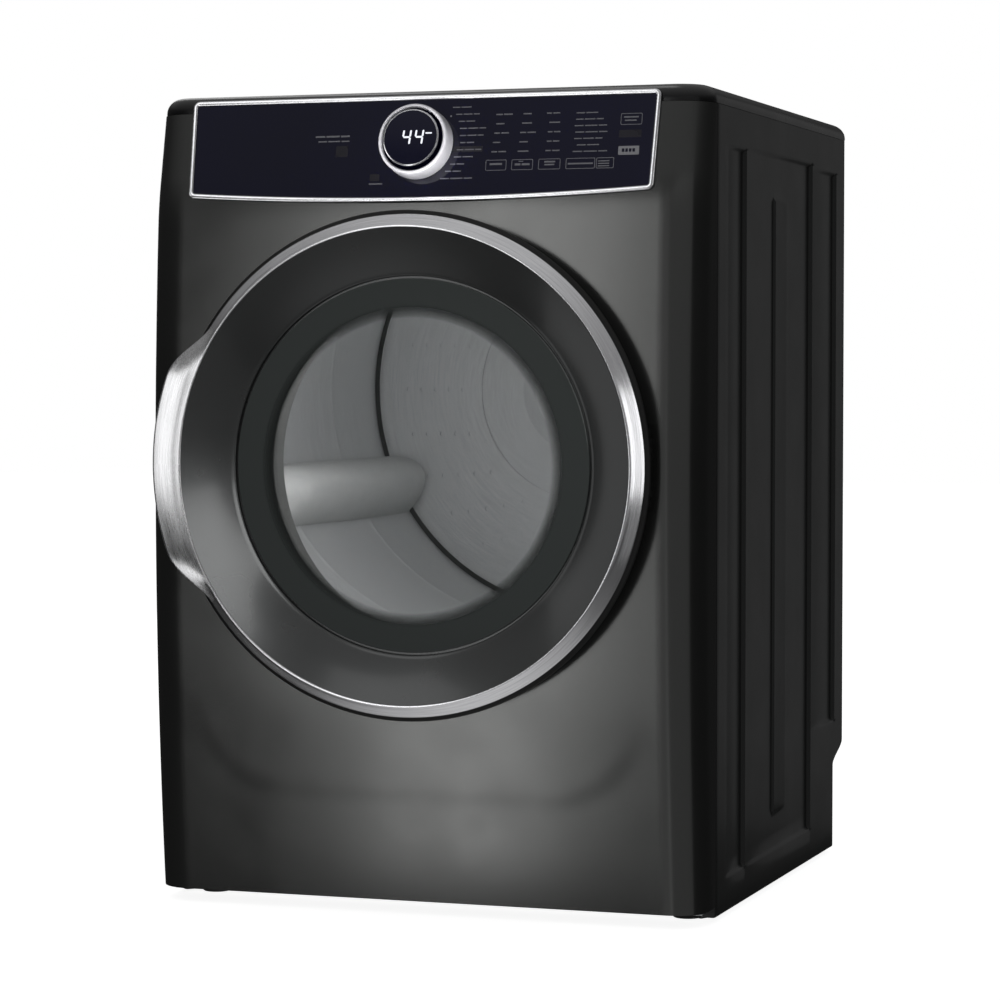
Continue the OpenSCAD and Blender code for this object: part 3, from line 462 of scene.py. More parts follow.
# Radii of the window in metres: where it starts to close, where its tint turns, its border
CLEAR_R, TINT_R, BORDER_R = 0.171, 0.173, 0.187
PANE_TINT = (0.045, 0.050, 0.048)
BORDER_TINT = (0.074, 0.082, 0.080)
PANE_ALPHA = 0.20


def window_glass(name, axis):
    """Tinted pane that turns into an opaque dark border towards its rim."""
    shader = Shader(name, PANE_TINT, 0.06).round_place(axis).gloss(12, 0.01)
    shader.blend(shader.by_radius(TINT_R, BORDER_R), PANE_TINT, BORDER_TINT)
    shader.link(shader.by_radius(CLEAR_R, BORDER_R, PANE_ALPHA, 1.0), shader.shader.inputs["Alpha"])
    return shader


def material_set():
    """The finish of every slot of the frame, and the finishes that only the scene has."""
    door_axis = door_z * MM
    drum_axis = drum_z * MM
    shaders = [paint(name, *values) for name, values in PAINTS.items()]
    shaders += [plastic(name, *values) for name, values in PLASTICS.items()]
    shaders += [rolled_steel(name, *values) for name, values in SHEETS.items()]
    for name, (colour, roughness, metallic, tone, gloss) in PLAIN.items():
        shaders.append(Shader(name, colour, roughness, metallic).tone(*tone).gloss(*gloss))
    shaders += [
        round_brushed("drum_steel", (0.56, 0.57, 0.575), 0.45, drum_axis, 0.4),
        round_brushed("bright_trim", (0.80, 0.80, 0.82), 0.20, door_axis),
        round_brushed("handle_metal", (0.66, 0.66, 0.67), 0.27, door_axis, Anisotropic=0.4),
        Shader("console_glass", (0.0030, 0.0030, 0.0280), 0.10, Coat_Weight=0.25)
        .tone(5, 0.12, (1.0, 1.0, 1.15)).gloss(9, 0.02),
        Shader("felt", (0.15, 0.14, 0.13), 0.95, Sheen_Weight=0.5).tone(700, 0.25).relief(1600, 0.0004, 0.8),
        Shader("coil_wire", (0.36, 0.27, 0.22), 0.45, 1.0).tone(120, 0.3, (1.2, 1.0, 0.9)),
        Shader("lint_screen", (0.10, 0.11, 0.12), 0.6, 0.5).tone(1500, 0.4).relief(2000, 0.0003, 0.8),
        window_glass("door_window", door_axis),
        Shader("inner_window", (0.30, 0.32, 0.32), 0.05, Alpha=0.10).tone(3, 0.05).gloss(12, 0.01),
        Shader(
            "digit_light", (0.85, 0.87, 0.92), 0.4, Emission_Color=(0.9, 0.93, 1.0, 1), Emission_Strength=0.9,
        ).tone(300, 0.05).gloss(200, 0.05),
    ]
    return {shader.name: shader.material for shader in shaders}


MATERIALS = material_set()


def finish_frame():
    """Every CAD node that stays in sight gets the finish of its own slot, and the throat a darker one."""
    for name, node in frame["nodes"].items():
        for place in node.material_slots:
            finish = "collar_grey" if name == "throat_collar" else place.material.name
            place.material = MATERIALS[finish]


# --- front panel ---

FRONT_REACH = 82
CORNER_R = 45
BOW_R = 4800
BOW_Z = 490
KINK_Z = 812
KINK_R = 400
FRONT_LOW_Z = 16
FRONT_TOP_Z = lid_low_z - 0.5
LANDING_R = 270
LANDING_Y = -72
LIP_Y = -78
OPENING_R = 236

bow_cy = BOW_R - FRONT_REACH
kink_a = math.asin((KINK_Z - BOW_Z) / BOW_R)


def front_path():
    """Stations up the middle of the front: y, z and the backward lean in radians."""
    start = -math.asin((BOW_Z - FRONT_LOW_Z + 2) / BOW_R)
    angles = spread(start, kink_a, 132)
    stations = [(bow_cy - BOW_R * math.cos(a), BOW_Z + BOW_R * math.sin(a), a) for a in angles]
    turn_y = stations[-1][0] + KINK_R * math.cos(kink_a)
    turn_z = stations[-1][1] - KINK_R * math.sin(kink_a)
    tilt = math.radians(CONSOLE_TILT)
    angles = spread(kink_a, tilt, 14)[1:]
    stations += [(turn_y - KINK_R * math.cos(a), turn_z + KINK_R * math.sin(a), a) for a in angles]
    y, z, _ = stations[-1]
    rise = FRONT_TOP_Z + 14 - z
    stations += [(y + t * rise * math.tan(tilt), z + t * rise, tilt) for t in spread(0, 1, 10)[1:]]
    return stations


def crease(x, z):
    """How far the lower front is set back outside the soft U that frames the upper part."""
    half, foot, corner, depth = 276, 143, 116, 0.4
    dx = max(abs(x) - (half - corner), 0)
    dz = max(foot + corner - z, 0)
    outside = math.hypot(dx, dz) - corner
    return depth * smoothstep(-12, 14, outside) * (1 - smoothstep(150, 262, z))


def front_section(y, z, lean):
    """One section of the front panel, from the left seam round the face to the right seam."""
    seam = (-SEAM_GAP - y) / math.cos(lean)
    straight = half_w - CORNER_R
    half = [(x, 0) for x in spread(0, straight, 50)]
    half += arc((straight, CORNER_R), CORNER_R, -90, 0, 14)[1:]
    half += [(half_w, d) for d in spread(CORNER_R, seam, 4)[1:]]
    half = [(x, d + crease(x, z) * (1 - smoothstep(0, CORNER_R, d))) for x, d in half]
    whole = [(-x, d) for x, d in reversed(half[1:])] + half
    return [(x, y + d * math.cos(lean), z - d * math.sin(lean)) for x, d in whole]


def trimmed(bm, height, keep_above):
    """The mesh cut off at a height."""
    bmesh.ops.bisect_plane(
        bm, geom=[*bm.verts, *bm.edges, *bm.faces], plane_co=(0, 0, height),
        plane_no=(0, 0, -1 if keep_above else 1), clear_outer=True,
    )
    return bm


def outward(bm, towards):
    """Faces of an open sheet turned so that they look along this direction on the whole."""
    bmesh.ops.recalc_face_normals(bm, faces=bm.faces)
    total = sum((face.normal * face.calc_area() for face in bm.faces), Vector())
    if total.dot(Vector(towards)) < 0:
        bmesh.ops.reverse_faces(bm, faces=bm.faces)
    return bm


def front_panel():
    sheet = surface([front_section(*station) for station in front_path()])
    trimmed(sheet, FRONT_LOW_Z, True)
    trimmed(sheet, FRONT_TOP_Z, False)
    door_hole = moved(turned([(0, -140), (LANDING_R, -140), (LANDING_R, -20), (0, -20)]), (0, 0, door_z))
    piece(
        "front_skin", outward(sheet, (0, -1, 0)), AT_SEAM, "cabinet", "front_paint", ["front_panel"],
        cuts=[door_hole, console_cut(-0.3)], shell=SHEET,
    )
    landing = [
        (LANDING_R - 0.2, LIP_Y), (LANDING_R - 0.2, LANDING_Y + SHEET), (OPENING_R + SHEET, LANDING_Y + SHEET),
        (OPENING_R + SHEET, LANDING_Y + 10), (OPENING_R, LANDING_Y + 10), (OPENING_R, LANDING_Y),
        (LANDING_R - SHEET, LANDING_Y), (LANDING_R - SHEET, LIP_Y),
    ]
    switch_hole = moved(turned([(0, -80), (4.4, -80), (4.4, -60), (0, -60)], 32), (-207, 0, -145))
    catch_hole = box_of((-262, -80, -15), (-249, -60, 15))
    piece(
        "front_landing", turned(filleted(landing, 2.0)), AT_DOOR, "cabinet", "front_paint", ["front_panel"],
        cuts=[switch_hole, catch_hole],
    )


# --- side panels ---

STEP_Y = 595
STEP_Z = (115, 144)
FLANGE = 16
FOLD_R = 2.2
# Pressed ramps, which sink towards the rear: front y, rear y, lower z, upper z
RAMPS = [(44, 133, 44, 901), (133, 466, 44, 904), (466, 601, 171, 899)]
BEAD = (274, 345, 89, 851)
RAMP_DEPTH = 5
RAMP_BEND = 1.7
STEP_RUN = 1.6
END_RUN = 7


def fall(ramp, y):
    """Depth of a ramp at a place along it."""
    share = (y - ramp[0]) / (ramp[1] - ramp[0])
    return RAMP_DEPTH * (1 - (1 - share) ** RAMP_BEND)


def between_ends(z, bottom, top):
    return smoothstep(bottom, bottom + END_RUN, z) * (1 - smoothstep(top - END_RUN, top, z))


def ramp_depth(y, z):
    """Depth of the side panel's face at a place: the ramps, and the bead that fills one of them."""
    for ramp in RAMPS:
        front, rear, bottom, top = ramp
        if front < y < rear:
            depth = fall(ramp, y) * (1 - smoothstep(rear - STEP_RUN, rear, y)) * between_ends(z, bottom, top)
            start, end, bead_bottom, bead_top = BEAD
            if start - STEP_RUN < y < end:
                filled = fall(ramp, end) * max(y - start, 0) / (end - start)
                share = smoothstep(start - STEP_RUN, start, y) * between_ends(z, bead_bottom, bead_top)
                depth += (min(filled, depth) - depth) * share
            return depth
    return 0


def rear_edge(z):
    """Rear edge of the side panel, which steps forward near the floor."""
    share = min(max((z - STEP_Z[0]) / (STEP_Z[1] - STEP_Z[0]), 0), 1)
    return STEP_Y + (side_d - STEP_Y) * (1 - math.cos(math.pi * share)) / 2


def side_lines():
    """Values of y and z at which the side panel's mesh has its lines."""
    ys = {SEAM_GAP + FOLD_R, side_d - FOLD_R, BEAD[1]}
    ends = {SEAM_GAP + FOLD_R, side_d - FOLD_R}
    for front, rear, *_ in RAMPS:
        ends |= {front, rear}
        ys |= set(spread(rear - STEP_RUN, rear, 3))
    ys |= set(spread(BEAD[0] - STEP_RUN, BEAD[0], 3))
    places = sorted(ends)
    for start, end in zip(places, places[1:]):
        ys |= set(spread(start, end, max(round((end - start) / 11), 2)))
    zs = set(spread(side_low_z + FOLD_R, lid_low_z - 0.5, 48)) | set(spread(*STEP_Z, 10))
    for _, _, bottom, top in [*RAMPS, BEAD]:
        zs |= set(spread(bottom, bottom + END_RUN, 5)) | set(spread(top - END_RUN, top, 5))
    return thinned(sorted(ys)), thinned(sorted(zs))


def thinned(values):
    """Sorted values without those that follow the last too closely."""
    kept = [values[0]]
    for value in values[1:]:
        if value - kept[-1] > 0.3:
            kept.append(value)
    return kept


def side_panel(name, side):
    """Panel with its folds, drawn as rows from the floor up; its rear part is squeezed where it steps in."""
    ys, zs = side_lines()
    straight = 560
    fold_x = half_w - FOLD_R
    rows = []
    for z in zs:
        rear = rear_edge(z)
        stretch = (rear - FOLD_R - straight) / (side_d - FOLD_R - straight)
        row = [(half_w - FLANGE, SEAM_GAP), *arc((fold_x, SEAM_GAP + FOLD_R), FOLD_R, -90, 0, 4)[:-1]]
        row += [
            (half_w - ramp_depth(y, z), y if y < straight else straight + (y - straight) * stretch)
            for y in ys
        ]
        row += [*arc((fold_x, rear - FOLD_R), FOLD_R, 0, 90, 4)[1:], (half_w - FLANGE, rear)]
        rows.append([(side * x, y, z) for x, y in row])
    bottom_fold = [
        [(x - side * (FOLD_R - px), y, side_low_z + FOLD_R - py) for x, y, _ in rows[0]]
        for px, py in reversed(arc((0, 0), FOLD_R, 90, 0, 4)[:-1])
    ]
    lip = [(x - side * FLANGE * 0.8, y, z) for x, y, z in bottom_fold[-1]]
    rows = [lip, *reversed(bottom_fold), *rows]
    sheet = surface(rows)
    bmesh.ops.remove_doubles(sheet, verts=sheet.verts, dist=0.01)
    piece(
        name, outward(sheet, (side, 0, 0)), AT_SEAM, "cabinet", "side_paint",
        ["side_panel_right" if side > 0 else "side_panel_left"], shell=SHEET,
    )


# --- lid ---

LID_FRONT = -44.5


def lid_outline(skin):
    """Outline of the lid, this far inside its widest one."""
    front = LID_FRONT + skin
    straight = half_w - CORNER_R
    side = half_w - skin
    r = CORNER_R - skin
    return [
        (-side, side_d), *arc((-straight, front + r), r, 180, 270, 14),
        *arc((straight, front + r), r, 270, 360, 14), (side, side_d),
    ]


def lid_panel():
    """Shell with all its upper edges rolled over, left open underneath."""
    edge_r = 18
    skins = [(0, lid_low_z), *arc((edge_r, top_z - edge_r), edge_r, 180, 90, 9)]
    rows = []
    for skin, z in skins:
        rear = side_d - skin
        rows.append([(x, min(y, rear), z) for x, y in lid_outline(skin)])
    piece(
        "lid_skin", outward(loft(rows, open_start=True), (0, 0, 1)), AT_SEAM, "cabinet", "lid_paint",
        ["top_panel"], cuts=[console_cut(-0.5)], shell=2,
    )


# --- console ---

CONSOLE_HALF_TOP = 290
CONSOLE_HALF_BOTTOM = 287
CONSOLE_LEN = 118.5
CONSOLE_BOW = 9
FRAME_W = 5.5


def console_outline(inset):
    """Barrel-shaped outline of the console, inset on all sides."""
    r = max(8 - inset, 2)
    xb = CONSOLE_HALF_BOTTOM - inset - r
    xt = CONSOLE_HALF_TOP - inset - r
    top = CONSOLE_LEN - inset
    return [
        *((x, inset - CONSOLE_BOW * (1 - (x / xb) ** 2)) for x in spread(-xb, xb, 48)),
        *arc((xb, inset + r), r, -80, 0, 6), *arc((xt, top - r), r, 0, 90, 8),
        *arc((-xt, top - r), r, 90, 180, 8), *arc((-xb, inset + r), r, 180, 260, 6),
    ]


def console_cut(inset):
    """Cutter for the console's opening in the panels round it."""
    cutter = xz_block(console_outline(inset), -40, 40)
    cutter.transform(AT_SEAM.inverted() @ AT_CONSOLE)
    return cutter


def console_frame():
    """Metal frame with a crowned face and a ledge behind the glass."""
    crown = [
        (0, 6), (0, -0.6), (0.35, -1.3), (1.0, -1.75), (2.0, -1.95), (3.5, -1.95), (4.5, -1.75), (5.1, -1.3),
        (FRAME_W, -0.6), (FRAME_W, 4), (FRAME_W + 4, 4), (FRAME_W + 4, 6),
    ]
    loops = xz_loops((console_outline(inset), y) for inset, y in crown)
    piece("console_trim", loft(loops, ring=True), AT_CONSOLE, "cabinet", "bright_trim", ["console_frame"])


def console_glass():
    edge = 0.5
    inset = FRAME_W + 0.1
    side, face = console_outline(inset), console_outline(inset + edge)
    loops = xz_loops([(side, 4), (side, edge), (face, 0)])
    hub_hole = moved(turned([(0, -2), (28, -2), (28, 6), (0, 6)], 96), (0, 0, KNOB_UP))
    piece(
        "console_panel", loft(loops), AT_CONSOLE, "cabinet", "console_glass", ["console_fascia"],
        cuts=[hub_hole],
    )


INK = 0.12
INK_FOOT = 0.02


def dash(x, z, length, height=1.3):
    """A short printed bar that stands for a word."""
    return box_of((x, -INK, z - height / 2), (x + length, INK_FOOT, z + height / 2))


def rounded_box(x0, x1, z0, z1, r):
    centres = [(x1 - r, z1 - r), (x0 + r, z1 - r), (x0 + r, z0 + r), (x1 - r, z0 + r)]
    return [point for k, centre in enumerate(centres) for point in arc(centre, r, 90 * k, 90 * (k + 1), 4)]


def key_outline(x0, x1, z0, z1):
    """Printed border round a touch key."""
    line = 0.7
    outer = rounded_box(x0, x1, z0, z1, 1.6)
    inner = rounded_box(x0 + line, x1 - line, z0 + line, z1 - line, 1.0)
    return loft(xz_loops([(outer, INK_FOOT), (outer, -INK), (inner, -INK), (inner, INK_FOOT)]), ring=True)


def words(x, z, length, height=1.3):
    """A row of one to three bars, as a line of small words leaves it."""
    space = 1.6
    count = 1 if length < 14 else 2 if length < 27 else 3
    shares = {1: (1,), 2: (0.42, 0.58), 3: (0.3, 0.42, 0.28)}[count]
    free = length - space * (count - 1)
    bars = []
    for share in shares:
        bars.append(dash(x, z, free * share, height))
        x += free * share + space
    return bars


# Printed rows: place of the left end, and length, from the top row down
CYCLE_ROWS = [
    (39, 23), (43.5, 29), (47.5, 20), (49.5, 32), (50, 29), (51, 17),
    (47.5, 30), (44.5, 23), (40.5, 17), (35, 19.5), (29.5, 39),
]
OPTION_COLUMNS = [
    [(93, 20), (93.5, 10), (92, 18), (91, 9), (90, 18)],
    [(126, 10), (125, 12), (123.5, 19), (123.5, 10), (122, 13)],
    [(154.5, 16), (158, 13), (157, 15), (156.5, 15), (155.5, 17)],
]
CARE_ROWS = [(190, 26), (190, 33), (189, 38.5), (190, 38.5), (189, 34), (193, 26.5), (188.5, 41)]
KEYS = [(84, 109.3), (115.5, 141.5), (148, 174.5), (181, 216), (217.3, 238.5)]
FAINT_PADS = [
    (-103, -88, 46.5, 60, 1.2), (-58, -46, 16.5, 25, 1.2), (242.5, 269, 62, 70.8, 1.0), (43, 79, 49.2, 56, 1.0),
]


def printed(name, bm, finish=None):
    """A piece that lies on the console's glass."""
    piece(name, bm, AT_CONSOLE, "cabinet", "console_glass", finish=finish)


def console_print():
    """Rows of bars and key borders, without any lettering."""
    parts = words(-130, 71.5, 43, 2.0) + words(-126, 65.5, 39, 1.5)
    parts += [dash(-58.5, 13.2, 16.5, 1.6)]
    for i, (x, length) in enumerate(CYCLE_ROWS):
        parts += words(x, 103 - 8.5 * i, length)
    dot = turned([(0, -INK), (1.2, -INK), (1.2, INK_FOOT), (0, INK_FOOT)], 20)
    parts.append(moved(dot, (37.5, 0, 92.5)))
    for column in OPTION_COLUMNS:
        for i, (x, length) in enumerate(column):
            parts += words(x, 93 - 11.1 * i, length, 1.5)
    for i, (x, length) in enumerate(CARE_ROWS):
        parts += words(x, 92.4 - 7.6 * i, length)
    for x0, x1 in KEYS:
        parts.append(key_outline(x0, x1, 26.3, 39))
    parts += [dash(89, 34, 15, 2.2), *words(119.5, 33, 18, 2.4), dash(124, 36.6, 5.5, 0.9)]
    parts += [dash(155, 35.4, 13.3, 1.8), dash(155.5, 32, 12, 1.6), dash(183.5, 32.5, 30, 1.8)]
    parts += [dash(219.5, 29.2 + 2.9 * i, 13.5, 1.2) for i in range(3)]
    parts.append(key_outline(243.5, 269, 76.8, 90.4))
    parts += [dash(247.2, 86, 17.5, 1.6), dash(248.5, 82, 13.8, 1.5)]
    printed("console_print", joined(parts), "print_grey")
    key = xz_block(rounded_box(242.7, 267.4, 41.6, 51.9, 1.2), INK_FOOT, -INK)
    printed("start_key", key, "key_grey")
    label = joined([box_of((247 + 4.2 * i, -0.2, 45), (250 + 4.2 * i, -0.1, 49)) for i in range(4)])
    printed("start_key_mark", label)
    pads = joined([xz_block(rounded_box(*place), INK_FOOT, -INK / 2) for place in FAINT_PADS])
    printed("dim_pads", pads, "dim_print")


KNOB_REACH = 24.5
LENS_Y = -KNOB_REACH - 4
# Lamp bars of the digit 4, by their ends
SEGMENTS = [
    ((-4.3, 8.4), (-4.3, 0.3)), ((4.3, 8.4), (4.3, 0.3)), ((-4.1, 0), (4.1, 0)), ((4.3, -0.3), (4.3, -8.4)),
]
LAMP = (LENS_Y - 0.15, LENS_Y + 0.05)


def digit_four(x):
    """The digit 4 of a lamp display, leaning a little to the right."""
    half_bar, tip_len, slant = 1.05, 0.9, 0.1
    bars = []
    for ends in SEGMENTS:
        start, end = (Vector(point) for point in ends)
        along = (end - start).normalized()
        across = Vector((-along.y, along.x)) * half_bar
        tip = along * tip_len
        corners = [
            start, start + tip + across, end - tip + across, end, end - tip - across, start + tip - across,
        ]
        bars.append(xz_block([(x + c.x + slant * c.y, c.y) for c in corners], *LAMP))
    return joined(bars)


def knob():
    """Ring that turns round a fixed display, with a dark well between them."""
    r = high("selector_knob").x
    top = -KNOB_REACH
    grip = filleted(
        [
            (38.0, -0.6), (r - 0.5, -0.6), (r, -1.2), (r - 0.3, -8), (r - 0.8, top + 3), (r - 1.8, top + 0.7),
            (r - 3.4, top), (38.6, top + 0.4), (37.6, top + 1.6), (37.2, top + 4),
        ],
        0.9,
    )
    notches, notch = 90, 0.22
    ring = turned(grip, 360)
    for vert in ring.verts:
        radius = math.hypot(vert.co.x, vert.co.z)
        if radius > r - 1.1 and vert.co.y > -4.7:
            ripple = notch * (1 - math.cos(notches * math.atan2(vert.co.z, vert.co.x)))
            vert.co.x *= (radius - ripple) / radius
            vert.co.z *= (radius - ripple) / radius
    piece("knob_ring", ring, AT_KNOB, "knob", "bright_trim", ["selector_knob"], finish="satin_metal")
    well = filleted([(30.1, -0.6), (38.2, -0.6), (37.4, top + 3.6), (35.2, top + 7), (30.1, top + 7)], 0.5)
    piece("knob_well", turned(well, 144), AT_KNOB, "knob", "console_glass", ["selector_knob"])
    lens = filleted(
        [
            (0, LENS_Y), (32.4, LENS_Y), (32.4, LENS_Y + 4), (30, LENS_Y + 4), (30, 0), (27.7, 0),
            (27.7, 4), (0, 4),
        ],
        0.4,
    )
    piece("display_glass", turned(lens, 144), AT_KNOB, "cabinet", "console_glass", ["display_lens"])
    bezel = filleted(
        [
            (32.4, LENS_Y - 0.1), (33.6, LENS_Y + 0.4), (34, LENS_Y + 1.2), (34, LENS_Y + 4),
            (32.4, LENS_Y + 4),
        ],
        0.25,
    )
    piece("display_bezel", turned(bezel, 144), AT_KNOB, "cabinet", "bright_trim", ["display_lens"])
    digits = [moved(digit_four(x), (0, 0, 0.3)) for x in (-4.7, 10.5)]
    digits.append(box_of((18.3, LAMP[0], 3.9), (26.0, LAMP[1], 5.5)))
    piece("display_digits", joined(digits), AT_KNOB, "cabinet", "console_glass", finish="digit_light")


# --- door ---

RING_IN_R = 276
RING_OUT_R = 290
RIM_R = 295
HANDLE_R = 316
HANDLE_FULL = 19
HANDLE_END = 34
DOOR_REACH = 126
GLASS_R = 217


def handle_edge(a):
    """Outer radius of the handle at an angle in degrees from its middle."""
    return RING_OUT_R + (HANDLE_R - RING_OUT_R) * smoothstep(HANDLE_END, HANDLE_FULL, abs(a))


def trim_section(a):
    """Section of the bright ring at an angle from the handle's middle; the handle is its wide stretch."""
    r = handle_edge(a)
    share = (r - RING_OUT_R) / (HANDLE_R - RING_OUT_R)
    width = r - RING_IN_R
    section = [
        (RING_IN_R - 1.4, -124.6), (RING_IN_R - 0.9, -DOOR_REACH + 0.4), (RING_IN_R, -DOOR_REACH),
        (RING_IN_R + 0.9, -DOOR_REACH + 0.35),
    ]
    for t in (0.2, 0.4, 0.6, 0.8, 0.93):
        flat = -DOOR_REACH + 0.3 + (DOOR_REACH - 112.9) * t
        crowned = -DOOR_REACH + 0.3 + 13.0 * t ** 1.6
        section.append((RING_IN_R + width * t, flat * (1 - share) + crowned * share))
    section += [
        (r - 0.4, -112.9), (r, -112.2), (r + 0.1 * share, -110.8 + 1.6 * share),
        (r - 0.6, -110.3 + 2.2 * share), (r - 2 - share, -110.2 + 2 * share),
        (RING_IN_R + width * 0.66, -113.2 - 0.8 * share),
    ]
    return section


def trim_ring_loops(start, end, count):
    """Sections of the bright ring between two angles from the handle's middle."""
    loops = []
    for a in spread(start, end, count):
        turn = math.radians(180 + a)
        loops.append([(r * math.cos(turn), y, r * math.sin(turn)) for r, y in trim_section(a)])
    return loops


def door_trim():
    ring = loft(trim_ring_loops(HANDLE_END, 360 - HANDLE_END, 232))
    piece("door_trim_ring", ring, AT_DOOR, "door", "bright_trim", ["door_ring"], angle=50)
    grip = loft(trim_ring_loops(-HANDLE_END, HANDLE_END, 90))
    piece("door_grip", grip, AT_DOOR, "door", "handle_metal", ["door_handle"], angle=50)


def door_dish():
    """Painted dish from the bright ring down to the glass, with a rolled lip."""
    face = [
        (RING_IN_R - 1.6 - 53.0 * t, -124.6 + 34.4 * t - 1.6 * math.sin(math.pi * t))
        for t in spread(0, 1, 16)[:-1]
    ]
    face += [(222.0, -90.6), (220.4, -90.0), (219.5, -88.6), (219.5, -84), (211, -84), (211, -82), (222, -82)]
    back = [(222 + 51.6 * t, -87.4 - 33.8 * t) for t in spread(0, 1, 8)]
    piece("door_bowl", turned(face + back, 240), AT_DOOR, "door", "door_dish", ["door_bezel"], angle=45)


def door_rim():
    profile = filleted(
        [
            (273.6, -121.2), (RING_IN_R - 1.6, -124.5), (RING_OUT_R - 2, -110.3), (RIM_R - 0.6, -107.8),
            (RIM_R, -106.9), (RIM_R, -105.6), (284, -86), (281, -86), (290.6, -104.4), (289, -106),
            (272.8, -117.6),
        ],
        0.7,
    )
    hinge_room = box_of((240, -104.8, -50), (310, -80, 50))
    piece("door_edge", turned(profile, 240), AT_DOOR, "door", "black_plastic", ["door_rim"], cuts=[hinge_room])


def door_glass():
    """Pane with a dark border that fades into its clear middle."""
    pane = filleted([(0, -88), (GLASS_R, -88), (GLASS_R, -84), (0, -84)], 0.9)
    piece("door_pane", turned(pane, 200), AT_DOOR, "door", "door_window", ["door_glass"])


def door_back():
    liner = filleted(
        [
            (222, -86), (283, -86), (283, -84), (250, -84), (248, -77), (226, -77), (222, -74), (208, -42),
            (204, -40), (191, -40), (191, -44), (205, -44.5), (216, -70), (214, -82), (222, -82),
        ],
        1.4,
    )
    hinge_room = box_of((246, -88, -52), (290, -70, 52))
    piece(
        "door_inner_pan", turned(liner, 200), AT_DOOR, "door", "drum_steel", ["door_liner"],
        cuts=[hinge_room], finish="collar_grey",
    )
    bowl_r = 190.8
    crown = [(r, -24 - 20 * (r / bowl_r) ** 2.2) for r in spread(0, bowl_r, 22)]
    bowl = crown + [(r, y - 4) for r, y in reversed(crown)]
    piece("door_bowl_glass", turned(bowl, 160), AT_DOOR, "door", "inner_window", ["door_inner_glass"])
    seal = [(239, -77), (247, -77), (246.6, -74.4), (244.6, -72.5), (241.4, -72.5), (239.4, -74.4)]
    piece("door_gasket", turned(filleted(seal, 0.8), 200), AT_DOOR, "door", "rubber_black", ["door_seal"])


# --- drum ---


def drum_shell():
    """Beaded wall, a black ring at its back that paints the shade in the seam's groove, and a thin baffle
    behind the back wall's perforations.
    """
    r = drum_r
    front, rear = 34, 584
    bead_depth, bead_half = 1.5, 9
    outer = [(r, front)]
    for bead in (187, 427):
        outer += [
            (r - bead_depth * math.sin(math.pi * t) ** 2, bead - bead_half + 2 * bead_half * t)
            for t in spread(0, 1, 12)
        ]
    outer += [(r, 536), (r - 2.2, 546), (r - 2.2, rear)]
    inner = [(radius - SHEET, y) for radius, y in reversed(outer)]
    lip = [(r - SHEET, front + 0.2), (r - SHEET + 0.3, front - 0.7), (r - 0.3, front - 0.9), (r, front - 0.3)]
    profile = outer + inner[:-1] + lip
    piece("drum_wall", turned(profile, 240), AT_DRUM, "drum", "drum_steel", ["drum_shell"])
    # Painted shade: a thin black ring in the joint between the wall and the back, standing in for the shadow in
    # the seam's groove.
    seam = [(r - 10.5, rear - 0.8), (r - 3.9, rear - 0.8), (r - 3.9, rear), (r - 10.5, rear)]
    piece("drum_seam", turned(seam, 240), AT_DRUM, "drum", "rubber_black")
    baffle = [(264, rear + 8.2), (264, rear + 8.7), (166, rear + 8.7), (166, rear + 8.2)]
    piece("drum_baffle", turned(baffle, 160), AT_DRUM, "drum", "drum_steel")


VANE_HALF = 42
VANE_RISE = 54
VANE_STATIONS = [66, 70, 78, 90, 105, 120, 135, 150, 180, 240, 320, 400, 480, 550, 566, 573, 578]


def vane():
    """Rounded hump on the drum wall, lower at its front end."""
    base = drum_r - 2.0
    loops = []
    for y in VANE_STATIONS:
        front = smoothstep(66, 150, y)
        rear = 1 - smoothstep(566, 579, y)
        rise = VANE_RISE * (0.35 + 0.65 * front) * (0.4 + 0.6 * rear)
        loop = []
        for t in spread(-1, 1, 24):
            bend = math.cos(t * math.pi / 2) ** 1.35
            lean = VANE_HALF * math.sin(t * math.pi / 2)
            loop.append((-(base - rise * bend - (1 - bend) * lean * lean / (2 * base)), y, lean))
        shell = [(-math.sqrt(base * base - x * x), y, x) for x in spread(VANE_HALF, -VANE_HALF, 8)[1:-1]]
        loops.append(loop + shell)
    return loft(loops)


def drum_vanes():
    parts = [moved(vane(), turn=-26 + 120 * i) for i in range(3)]
    piece(
        "drum_lifters", joined(parts), AT_DRUM, "drum", "white_plastic", ["drum_vanes"],
        angle=40, finish="lifter_grey",
    )


# --- back and feet ---


def screw(centre, plane):
    """Hexagon screw with a flange and a crowned head."""
    x, z = centre
    flange = moved(turned(filleted([(0, 0), (5, 0), (5, 0.5), (4.2, 0.9), (0, 0.9)], 0.2), 32), (x, plane, z))
    head = [
        [(x + px, plane + y, z + pz) for px, pz in circle(radius, 6)]
        for radius, y in ((3.3, 0.8), (3.3, 2.1), (2.8, 2.4))
    ]
    return [flange, loft(head)]


def rear_screws():
    upper = [(x, 930) for x in (-325, -160, 0, 160, 325)]
    upper += [(x, z) for z in (220, 450, 690) for x in (-325, 325)]
    lower = [(x, 60) for x in (-325, -120, 120, 325)]
    parts = []
    for places, plane in ((upper, side_d + 0.05), (lower, STEP_Y + 0.05)):
        for place in places:
            parts += screw(place, plane)
    piece("case_screws", joined(parts), AT_SEAM, "cabinet", "shaft_steel", ["rear_screws"])


def foot(corner):
    """Levelling foot: a turned sole and a threaded stem."""
    node, body = f"foot_{corner}", f"{corner}_foot"
    spot = middle(node)
    sole_rings = ((15.8, 0), (16.7, 0.5), (17, 1.4), (17, 4.2), (16.4, 5), (12.6, 6.9), (11.6, 7.2))
    thread_rings = [(5 - 0.45 * (i % 2), 7 + 0.75 * i) for i in range(53)]
    sole, stem = (
        loft([[(x, y, z) for x, y in circle(r, count)] for r, z in rings])
        for rings, count in ((sole_rings, 48), (thread_rings, 24))
    )
    at = Matrix.Scale(MM, 4) @ Matrix.Translation((spot.x, spot.y, 0))
    piece(f"{body}_pad", joined([sole, stem]), at, body, "rubber_black", [node])


